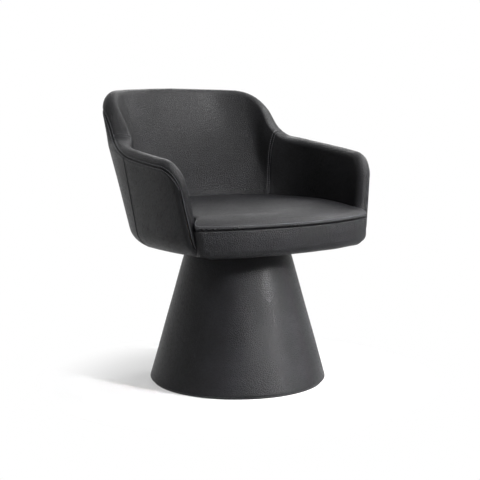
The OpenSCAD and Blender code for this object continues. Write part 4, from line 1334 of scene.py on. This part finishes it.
@dataclass
class Seat:
    """The crowned seat pad and the padded band under its front seam."""

    form: TubForm
    finishes: Finishes
    seam_h: float = 453.0
    back_h: float = 495.0
    reach: float = 284.0
    tuck: float = 10.0
    tuck_low: float = 6.0
    step_out: float = 7.0
    bow: float = 2.15
    crown: float = 5.0
    mid_y: float = -26.5
    half_w: float = 290.0
    half_d: float = 258.0
    fall: float = 13.0
    fall_scale: float = 1.26
    side_share: float = 0.3
    side_drop: float = 8.0
    edge_w: float = 64.0
    side_w: float = 22.0
    side_gap: float = 44.6
    side_set: float = 12.0
    front_from_share: float = 0.72
    side_line_share: float = 0.999
    sewn_share: float = 0.97
    outline_blur: tuple[int, float] = (24, 8.0)
    welt_w: float = 12.0
    sewn_rings: int = 2
    skirt: float = 21.0
    skirt_front: float = 7.0
    skirt_set: float = 2.6
    pad_fill: float = 0.85
    pad_relief: SeamRelief = SeamRelief(valley=1.0, valley_w=1.6, row_at=4.2, row_depth=0.4, swell=0.15)
    pad_uneven: Unevenness = Unevenness(0.5, 110.0, 0.45, 17.0, 22.0)
    band_fill: float = 0.9
    band_relief: SeamRelief = SeamRelief(valley=0.8, valley_w=1.6, row_depth=0.0, swell=0.0)
    band_uneven: Unevenness = Unevenness(0.4, 90.0, 0.4, 15.0, 14.0)
    band_gap: float = 1.2
    band_belly: float = 1.6
    band_proud: float = 2.5
    band_end_r: float = 17.0
    band_curl: float = 25.0
    band_lip: float = 16.0
    band_low: float = 3.5
    band_return: float = 13.0
    band_lift: float = 10.0
    band_lift_share: float = 0.13
    band_columns: int = 150
    band_end_columns: int = 9

    def front(self, k: Array, z: Array | float, inset: Array | float) -> Array:
        """Point of the front curve y = rise |k|^bow - reach.

        Args:
            k: share of the way from the middle to the arm, negative to the right.
            z: height.
            inset: distance inwards along the curve's normal.

        Returns:
            Points in millimetres.
        """
        z = np.asarray(z, float)
        end = self.form.at(np.array(1.0), z)
        low = np.clip((self.seam_h - z) / (self.seam_h - self.form.shell_z), 0, 1)
        ex, ey = end[..., 0] - mix(self.tuck, self.tuck_low, low), end[..., 1] - self.step_out
        rise = ey + self.reach
        slope = rise * self.bow * np.abs(k) ** (self.bow - 1) * np.sign(k)
        n = unit(np.stack([slope + 0 * ex, -ex + 0 * k], axis=-1))
        curve = np.stack([ex * k, rise * np.abs(k) ** self.bow - self.reach], axis=-1)
        flat = curve - np.asarray(inset)[..., None] * n
        return np.concatenate([flat, (z + 0 * k)[..., None]], axis=-1)

    def outline(self, points: int = 320) -> Array:
        """Outline of the pad with eased corners: the tub's wall and the front curve, blurred by a bell.

        Args:
            points: number of points.

        Returns:
            For each point X, Y and how far it belongs to the front.
        """
        finer = 4
        reach = self.form.length - self.side_set
        k = np.linspace(-1, 1, 260)
        front = np.clip((np.abs(k) - self.front_from_share) / (1 - self.front_from_share), 0, 1) ** 2
        level = mix(self.back_h - self.side_drop - self.fall * k**2, self.seam_h, front)
        back = np.column_stack([self.form.inside(k * reach, level, self.side_gap), front])
        ahead = self.front(np.linspace(1, -1, 180), self.seam_h, 0.0)[:, :2]
        loop = np.concatenate([back, np.column_stack([ahead, np.ones(len(ahead))]), back[:1]])
        far = run_lengths(loop[:, :2], 0)
        at = np.linspace(0, far[-1], finer * points, endpoint=False)
        dense = np.stack([np.interp(at, far, loop[:, c]) for c in range(3)], axis=-1)
        steps, weights = bell_weights(*self.outline_blur)
        return sum(w * np.roll(dense, n, axis=0) for n, w in zip(steps, weights))[::finer]

    def build(self) -> None:
        """Builds pad, band and their stitches."""
        self._pad()
        self._band()

    def _pad(self) -> None:
        """The pad: rings drawn from the outline towards its middle, rolled down at front and sides.

        With q the share of the way across a roll, the height follows sqrt(1 - (1 - q)^2).
        """
        line = self.outline()
        rim, front = line[:, :2], line[:, 2]
        mid = np.array([0.0, self.mid_y])
        near_rim, inner = 1 - 0.3 * np.linspace(0, 1, 34) ** 1.7, np.linspace(0.67, 0.03, 30)
        share = np.concatenate([near_rim, inner])
        flat = mix(mid, rim[None], share[:, None, None])
        curve = self.front(np.linspace(-1.05, 1.05, 160), self.seam_h, 0.0)[:, :2]
        ahead = self._apart(flat, curve)
        beside = self._apart(flat, rim[front < self.side_line_share])
        top = self._top(flat)
        down = np.hypot((top - self.seam_h) * self._roll(ahead, self.edge_w),
                        self.side_drop * self._roll(beside, self.side_w))
        rings = np.concatenate([flat, (top - down)[..., None]], axis=-1)
        level = rings[0, :, 2].copy()
        seam = run_lengths(rings, 0)
        welt = smooth((self.welt_w - ahead[0]) / self.welt_w)
        depth = self.pad_relief.depth(seam) * welt + self.pad_uneven.depth(rings, seam, Seed.SEAT_PAD)
        rings[self.sewn_rings :, :, 2] -= depth[self.sewn_rings :]
        pull = unit(mid - rim)
        hem = mix(self.skirt, self.skirt_front, front)
        hems = ((self.skirt_set, hem), (self.skirt_set, 1.4), (0.8, 0.6))
        turned = np.array([np.column_stack([rim + pull * inset, level - drop]) for inset, drop in hems])
        pad = closed_rings("seat_pad", np.concatenate([turned, rings]))
        self.finishes.cover(pad, ["seat_cover", "seat_foam"], "seat", self.pad_fill)
        self._sew_front(rings, seam, front)

    def _roll(self, d: Array, width: float) -> Array:
        """Share of the fall at the distance d into a roll of that width."""
        return 1 - np.sqrt(1 - (1 - np.clip(d / width, 0, 1)) ** 2)

    def _sew_front(self, rings: Array, seam: Array, front: Array) -> None:
        """Sews the row behind the front seam.

        Args:
            rings: rings of the pad.
            seam: distance of their points from the outline.
            front: how far each point of the outline belongs to the front.
        """
        row = np.where(front > self.sewn_share)[0]
        half = len(front) // 2
        order = np.concatenate([row[row > half], row[row <= half]])
        k = int(np.argmin(np.abs(seam[:, order[len(order) // 2]] - self.pad_relief.row_at)))
        path = rings[k][order]
        normal = unit(np.cross(np.gradient(path, axis=0), rings[k + 1][order] - path))
        self.finishes.sew("seat_front_row", path, normal * np.sign(normal[:, 2:3]), "seat")

    def _top(self, points: Array) -> Array:
        """Height of the pad without its rolls: crowned in the middle and falling to sides and front.

        The fall follows g / (1 + g^3)^(1/3), g being (x / a)^2 + (y / b)^2 with y only ahead of the
        middle. fall_scale makes it the whole fall where g is 1.

        Args:
            points: places in plan.

        Returns:
            Heights in millimetres.
        """
        x, y = points[..., 0] / self.half_w, (points[..., 1] - self.mid_y) / self.half_d
        g = self.side_share * x**2 + np.minimum(y, 0) ** 2
        crowned = self.back_h + self.crown * (1 - np.clip(x**2 + y**2, 0, 1))
        return crowned - self.fall * self.fall_scale * g / (1 + g**3) ** (1 / 3)

    def _apart(self, points: Array, line: Array) -> Array:
        """Shortest distance in plan from each point of a grid to a line of points.

        Args:
            points: grid of places in plan.
            line: points of the line.

        Returns:
            Distances, from |p|^2 + |q|^2 - 2 p.q.
        """
        flat = points.reshape(-1, 2)
        gaps = (flat**2).sum(axis=1)[:, None] + (line**2).sum(axis=1)[None] - 2 * flat @ line.T
        return np.sqrt(np.maximum(gaps.min(axis=1), 0)).reshape(points.shape[:-1])

    def _band(self) -> None:
        """The band: columns along the front curve with round ends, rolled under at the bottom."""
        end_r, ends = self.band_end_r, self.band_end_columns
        span = self.form.at(np.array(1.0), np.array(self.seam_h))[0] - self.tuck
        main = np.linspace(-1 + end_r / span, 1 - end_r / span, self.band_columns)
        turn = np.linspace(0, math.pi / 2, ends)[1:]
        k = np.concatenate([np.full(ends, main[0]), main, np.full(ends, main[-1])])
        phi = np.concatenate([[-turn[-1]], -turn[::-1], np.zeros(self.band_columns), turn, [turn[-1]]])
        back = np.concatenate([[self.band_return], np.zeros(len(phi) - 2), [self.band_return]])
        lift = smooth((np.abs(k) - 1 + self.band_lift_share) / self.band_lift_share)
        knee = self.form.shell_z + self.band_curl - self.band_low + self.band_lift * lift
        rows = np.concatenate([np.linspace(0, 1, 24), np.linspace(1, 2, 14)[1:], [2.5, 3.0]])[:, None]
        c = np.clip(rows - 1, 0, 1) * math.pi / 2
        high = mix(self.seam_h - self.band_gap, knee, np.clip(rows, 0, 1))

        def place(depth: Array | float) -> Array:
            """Points of the band: its columns turned about its round ends and moved behind its outside.

            Args:
                depth: distance inwards from the outside.

            Returns:
                Points in millimetres.
            """
            r = self.band_curl - depth
            z = np.where(rows <= 1, high, knee - r * np.sin(c))
            lip = np.clip(rows - 2, 0, 1) * self.band_lip
            inset = np.where(rows <= 1, depth, self.band_curl - r * np.cos(c)) + lip + 0 * k
            base = self.front(k + 0 * z, z, inset)
            ahead = self.front(k + 1e-3 + 0 * z, z, inset) - self.front(k - 1e-3 + 0 * z, z, inset)
            ahead = unit(ahead * [1, 1, 0])
            inward = np.stack([-ahead[..., 1], ahead[..., 0], 0 * z], axis=-1)
            rr = end_r - np.minimum(depth, end_r - 1)
            round_end = inward * (rr * (1 - np.cos(phi)) + back)[..., None]
            return base + ahead * (rr * np.sin(phi))[..., None] + round_end

        plain = place(0.0)
        seam = run_lengths(plain, 0)
        belly = -self.band_belly * np.sin(np.clip(rows, 0, 1) * math.pi) * (phi == 0)
        depth = self.band_relief.depth(seam) + self.band_uneven.depth(plain, seam, Seed.FRONT_BAND) + belly
        band = leather_skin("front_band", place, depth, self.band_proud)
        self.finishes.cover(band, ["seat_band", "front_foam"], "seat", self.band_fill)


# Pedestal


@dataclass
class Pedestal:
    """The leather cover of the cone, with its upright seam at the back."""

    finishes: Finishes
    foot_r: float = 245.0
    neck_r: float = 140.0
    low: float = 5.0
    high: float = 378.0
    round_r: float = 5.0
    hem: float = 26.0
    neck_hem: float = 9.0
    fill: float = 1.0
    proud: float = 1.2
    columns: int = 241
    relief_rows: tuple[float, float] = (1.8, 3.2)
    relief: SeamRelief = SeamRelief()
    uneven: Unevenness = Unevenness(0.35, 120.0, 0.2, 15.0, 14.0)

    def place(self, theta: Array, k: Array, depth: Array | float) -> Array:
        """Point of the cover: a straight cone with round ends, its hems turned in at foot and neck.

        Args:
            theta: angle round the axis, 0 at the back seam.
            k: 0 to 1 along the foot's hem, 1 to 2 round it, 2 to 3 up the cone, 3 to 4 round the
                neck, 4 to 5 along the neck's hem.
            depth: distance inwards from the leather's outside.

        Returns:
            Points in millimetres.
        """
        share = (self.foot_r - self.neck_r) / (self.high - self.low)
        tilt = math.atan(share)
        q = self.round_r - depth
        a0 = mix(-math.pi / 2, tilt, np.clip(k - 1, 0, 1))
        a1 = mix(tilt, math.pi / 2, np.clip(k - 3, 0, 1))
        angle = np.where(k < 2, a0, np.where(k < 3, tilt, a1))
        zc = mix(self.low + self.round_r, self.high - self.round_r, np.clip(k - 2, 0, 1))
        cone = self.foot_r - (zc - self.low) * share - self.round_r / math.cos(tilt)
        turned_in = np.clip(1 - k, 0, 1) * self.hem + np.clip(k - 4, 0, 1) * self.neck_hem
        r = cone + q * np.cos(angle) - turned_in
        z = zc + q * np.sin(angle) + 0 * theta
        return np.stack([r * np.sin(theta), r * np.cos(theta), z], axis=-1)

    def build(self) -> None:
        """Builds the cover and the two rows of stitches beside its seam."""
        rows = [[0.0], np.linspace(1, 2, 9), np.linspace(2, 3, 60)[1:], np.linspace(3, 4, 8)[1:], [5.0]]
        turns = np.linspace(0, 2 * math.pi, self.columns)
        k, theta = np.meshgrid(np.concatenate(rows), turns, indexing="ij")
        place = partial(self.place, theta, k)
        plain = place(0.0)
        seam = from_both_ends(plain)
        depth = self.relief.depth(seam) + self.uneven.depth(plain, seam, Seed.PEDESTAL)
        first, last = self.relief_rows
        depth = np.where((k > first) & (k < last), depth, 0.0)
        cover = leather_skin("pedestal_leather", place, depth, self.proud)
        self.finishes.cover(cover, ["pedestal_cover", "pedestal_foam"], "pedestal", self.fill)
        line = np.linspace(2.0, 3.0, 160)
        radius = np.linalg.norm(self.place(np.zeros(len(line)), line, 0.0)[:, :2], axis=-1)
        for label, sign in (("left", 1.0), ("right", -1.0)):
            beside = partial(self.place, sign * self.relief.row_at / radius, line)
            self.finishes.sew_into(f"pedestal_{label}_row", beside, "pedestal")


# Underside and hidden pieces


@dataclass
class Underside:
    """The black cloth under the seat board and the finishes of the hidden pieces."""

    finishes: Finishes
    form: TubForm
    seat: Seat
    cloth_z: float = 384.9
    cloth_thick: float = 0.4
    hole_r: float = 106.6
    wall_gap: float = 63.6
    end_gap: float = 59.8
    front_gap: float = 42.6
    front_share: float = 0.9
    sag: float = 1.0
    folds: int = 9
    fold_share: float = 0.25
    columns: int = 240
    rings: int = 18

    def build(self, nodes: dict[str, Piece]) -> None:
        """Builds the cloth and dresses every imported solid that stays.

        Args:
            nodes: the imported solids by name.
        """
        self._cloth()
        dressed = {
            "birch_plywood": ("bottom_board", "cross_rib", "notched_rib", "pedestal_skin", "top_board",
                              "seat_board", "seat_frame", "tub_shell"),
            "zinc_plated_steel": ("ballast_screws", "board_screws", "lower_plate", "lower_nuts",
                                  "centre_rivet", "upper_plate", "tee_nuts", "frame_screws"),
            "black_oxide_steel": ("ballast_plate", "lower_bolts", "upper_bolts"),
            "bearing_steel": ("balls",),
            "natural_nylon": ("ball_cage",),
            "black_rubber": ("floor_pad",),
            "jute_webbing": ("long_straps", "cross_straps"),
        }
        for look, names in dressed.items():
            for name in names:
                self.finishes.put(nodes[name], look)
                LOG.info("dressed %s with %s", name, look)

    def _cloth(self) -> None:
        """The cloth: a sheet stretched between a round hole and the outline of the lips, sagging 1 mm."""
        reach = self.form.length - self.end_gap
        back = self.form.inside(np.linspace(-reach, reach, 170), self.cloth_z + 0.5, self.wall_gap)
        ahead = np.linspace(self.front_share, -self.front_share, 90)
        front = self.seat.front(ahead, self.cloth_z, self.front_gap)[:, :2]
        loop = np.concatenate([back, front, back[:1]])
        rim = along(loop, np.linspace(0, run_lengths(loop, 0)[-1], self.columns, endpoint=False))
        angle = np.arctan2(rim[:, 1], rim[:, 0])
        hole = self.hole_r * np.stack([np.cos(angle), np.sin(angle)], axis=-1)
        k = np.linspace(0, 1, self.rings)[:, None]
        flat = mix(hole[None], rim[None], k[..., None])
        fold = 1 - self.fold_share + self.fold_share * np.sin(self.folds * angle)
        z = self.cloth_z - self.sag * np.sin(k * math.pi) * fold
        rings = np.concatenate([flat, z[..., None]], axis=-1)
        rings = np.concatenate([rings, rings[:, :1]], axis=1)
        cloth = skin("dust_cloth", rings, rings + [0, 0, self.cloth_thick])
        self.finishes.put(cloth, "black_lining_cloth")
        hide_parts("dust_cover")
        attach(cloth, "seat")


# Studio


@dataclass(frozen=True)
class Lamp:
    """A soft lamp: its place, its aim and its size in metres, its watts and its beam in degrees."""

    name: str
    spot: tuple[float, float, float]
    aim: tuple[float, float, float]
    size: tuple[float, float]
    power: float
    spread: float = 180.0

    def build(self) -> None:
        """Hangs the lamp, turned to its aim."""
        data = bpy.data.lights.new(self.name, "AREA")
        data.shape = "RECTANGLE"
        data.energy = self.power
        data.size, data.size_y = self.size
        data.spread = math.radians(self.spread)
        lamp = bpy.data.objects.new(self.name, data)
        lamp.location = self.spot
        x, y, z = np.array(self.aim) - np.array(self.spot)
        lamp.rotation_euler = (math.atan2(math.hypot(x, y), -z), 0.0, math.atan2(-x, y))
        bpy.context.scene.collection.objects.link(lamp)


@dataclass
class Studio:
    """Plain white studio: floor, soft lamps and the camera of the photo."""

    azimuth: float = -34.527
    distance: float = 3068.1
    height: float = 791.8
    focal: float = 84.1
    sensor: float = 36.0
    pitch: float = 7.513
    yaw: float = 0.121
    floor_reach: float = 6000.0
    floor_colour: str = "#dedede"
    fade_m: tuple[float, float] = (0.25, 0.56)
    fade_least: float = 0.45
    soft_light: float = 0.2
    lamps: tuple[Lamp, ...] = (
        Lamp("key_lamp", (1.6, -3.0, 1.7), (0.0, 0.0, 0.06), (0.9, 0.4), 6.8, 16.0),
        Lamp("high_lamp", (1.45, -1.9, 3.9), (0.0, 0.1, 0.6), (1.0, 0.8), 190.0),
        Lamp("top_lamp", (0.8, -1.1, 3.2), (0.0, 0.0, 0.4), (1.3, 1.3), 35.0),
        Lamp("side_lamp", (2.6, 0.3, 2.7), (0.0, 0.0, 0.5), (1.0, 1.0), 60.0),
        Lamp("fill_lamp", (-3.0, -1.6, 1.6), (0.0, 0.0, 0.45), (1.8, 1.8), 5.0),
        Lamp("back_lamp", (1.6, 2.6, 2.2), (0.0, 0.0, 0.6), (1.4, 1.4), 25.0),
    )

    def build(self) -> None:
        """Builds floor, world, lamps and camera."""
        bpy.context.scene.view_settings.view_transform = "Standard"
        self._floor()
        self._world()
        for lamp in self.lamps:
            lamp.build()
        self._camera()

    def _floor(self) -> None:
        """A wide pale floor. To the camera and to reflections it fades into the white background."""
        corners = np.array([[-1, -1, 0], [1, -1, 0], [1, 1, 0], [-1, 1, 0]]) * self.floor_reach
        floor = new_piece("floor", corners, [[0, 1, 2, 3]], shade_smooth=False)
        material = bpy.data.materials.new("white_floor")
        tree = empty_tree(material)
        paint = {"Base Color": linear(self.floor_colour), "Roughness": 0.9, "Specular IOR Level": 0.1}
        lit = add_node(tree, "ShaderNodeBsdfPrincipled", paint)
        white = add_node(tree, "ShaderNodeEmission", {"Color": (1, 1, 1, 1), "Strength": 1.0})
        place = add_node(tree, "ShaderNodeTexCoord").outputs["Object"]
        far = add_node(tree, "ShaderNodeVectorMath", {0: place}, operation="LENGTH").outputs["Value"]
        near, wide = self.fade_m
        ends = {"Value": far, "From Min": near, "From Max": wide, "To Min": self.fade_least, "To Max": 1.0}
        fade = add_node(tree, "ShaderNodeMapRange", ends, interpolation_type="SMOOTHSTEP")
        share = add_sum(tree, "MULTIPLY", fade.outputs["Result"], self._seen(tree))
        both = add_node(tree, "ShaderNodeMixShader", {0: share, 1: lit.outputs[0], 2: white.outputs[0]})
        add_node(tree, "ShaderNodeOutputMaterial", {"Surface": both.outputs[0]})
        floor.data.materials.append(material)
        floor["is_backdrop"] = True

    def _seen(self, tree: Tree) -> Socket:
        """Tells the rays that see the white background.

        Args:
            tree: tree that gets the nodes.

        Returns:
            1 for rays of the camera, reflections and glass, else 0.
        """
        ray = add_node(tree, "ShaderNodeLightPath").outputs
        shiny = add_sum(tree, "MAXIMUM", ray["Is Glossy Ray"], ray["Is Transmission Ray"])
        return add_sum(tree, "MAXIMUM", ray["Is Camera Ray"], shiny)

    def _world(self) -> None:
        """White to the camera, reflections and glass; a plain soft light to the rest."""
        world = bpy.data.worlds.new("studio_world")
        tree = empty_tree(world)
        plain = {"Color": (1, 1, 1, 1)}
        light = add_node(tree, "ShaderNodeBackground", plain | {"Strength": self.soft_light})
        white = add_node(tree, "ShaderNodeBackground", plain | {"Strength": 1.0})
        ends = {0: self._seen(tree), 1: light.outputs[0], 2: white.outputs[0]}
        both = add_node(tree, "ShaderNodeMixShader", ends)
        add_node(tree, "ShaderNodeOutputWorld", {"Surface": both.outputs[0]})
        bpy.context.scene.world = world

    def _camera(self) -> None:
        """The camera at the place fitted to the photo, just under the top of the back."""
        a = math.radians(self.azimuth)
        data = bpy.data.cameras.new("camera")
        data.lens = self.focal
        data.sensor_width = self.sensor
        camera = bpy.data.objects.new("camera", data)
        x, y = self.distance * math.sin(a), -self.distance * math.cos(a)
        camera.location = (x * MM, y * MM, self.height * MM)
        camera.rotation_euler = (math.radians(90 - self.pitch), 0.0, a - math.radians(self.yaw))
        bpy.context.scene.collection.objects.link(camera)
        bpy.context.scene.camera = camera


# The whole chair


def main() -> None:
    """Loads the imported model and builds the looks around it."""
    logging.basicConfig(level=logging.INFO, format="%(name)s: %(message)s")
    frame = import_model()
    form = TubForm()
    finishes = Finishes()
    seat = Seat(form, finishes)
    TubLeather(form, finishes).build()
    seat.build()
    Pedestal(finishes).build()
    Underside(finishes, form, seat).build(frame["nodes"])
    Studio().build()
    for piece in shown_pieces():
        LOG.info("piece %s: %d faces", piece.name, len(piece.data.polygons))
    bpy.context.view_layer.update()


if __name__ == "__main__":
    main()
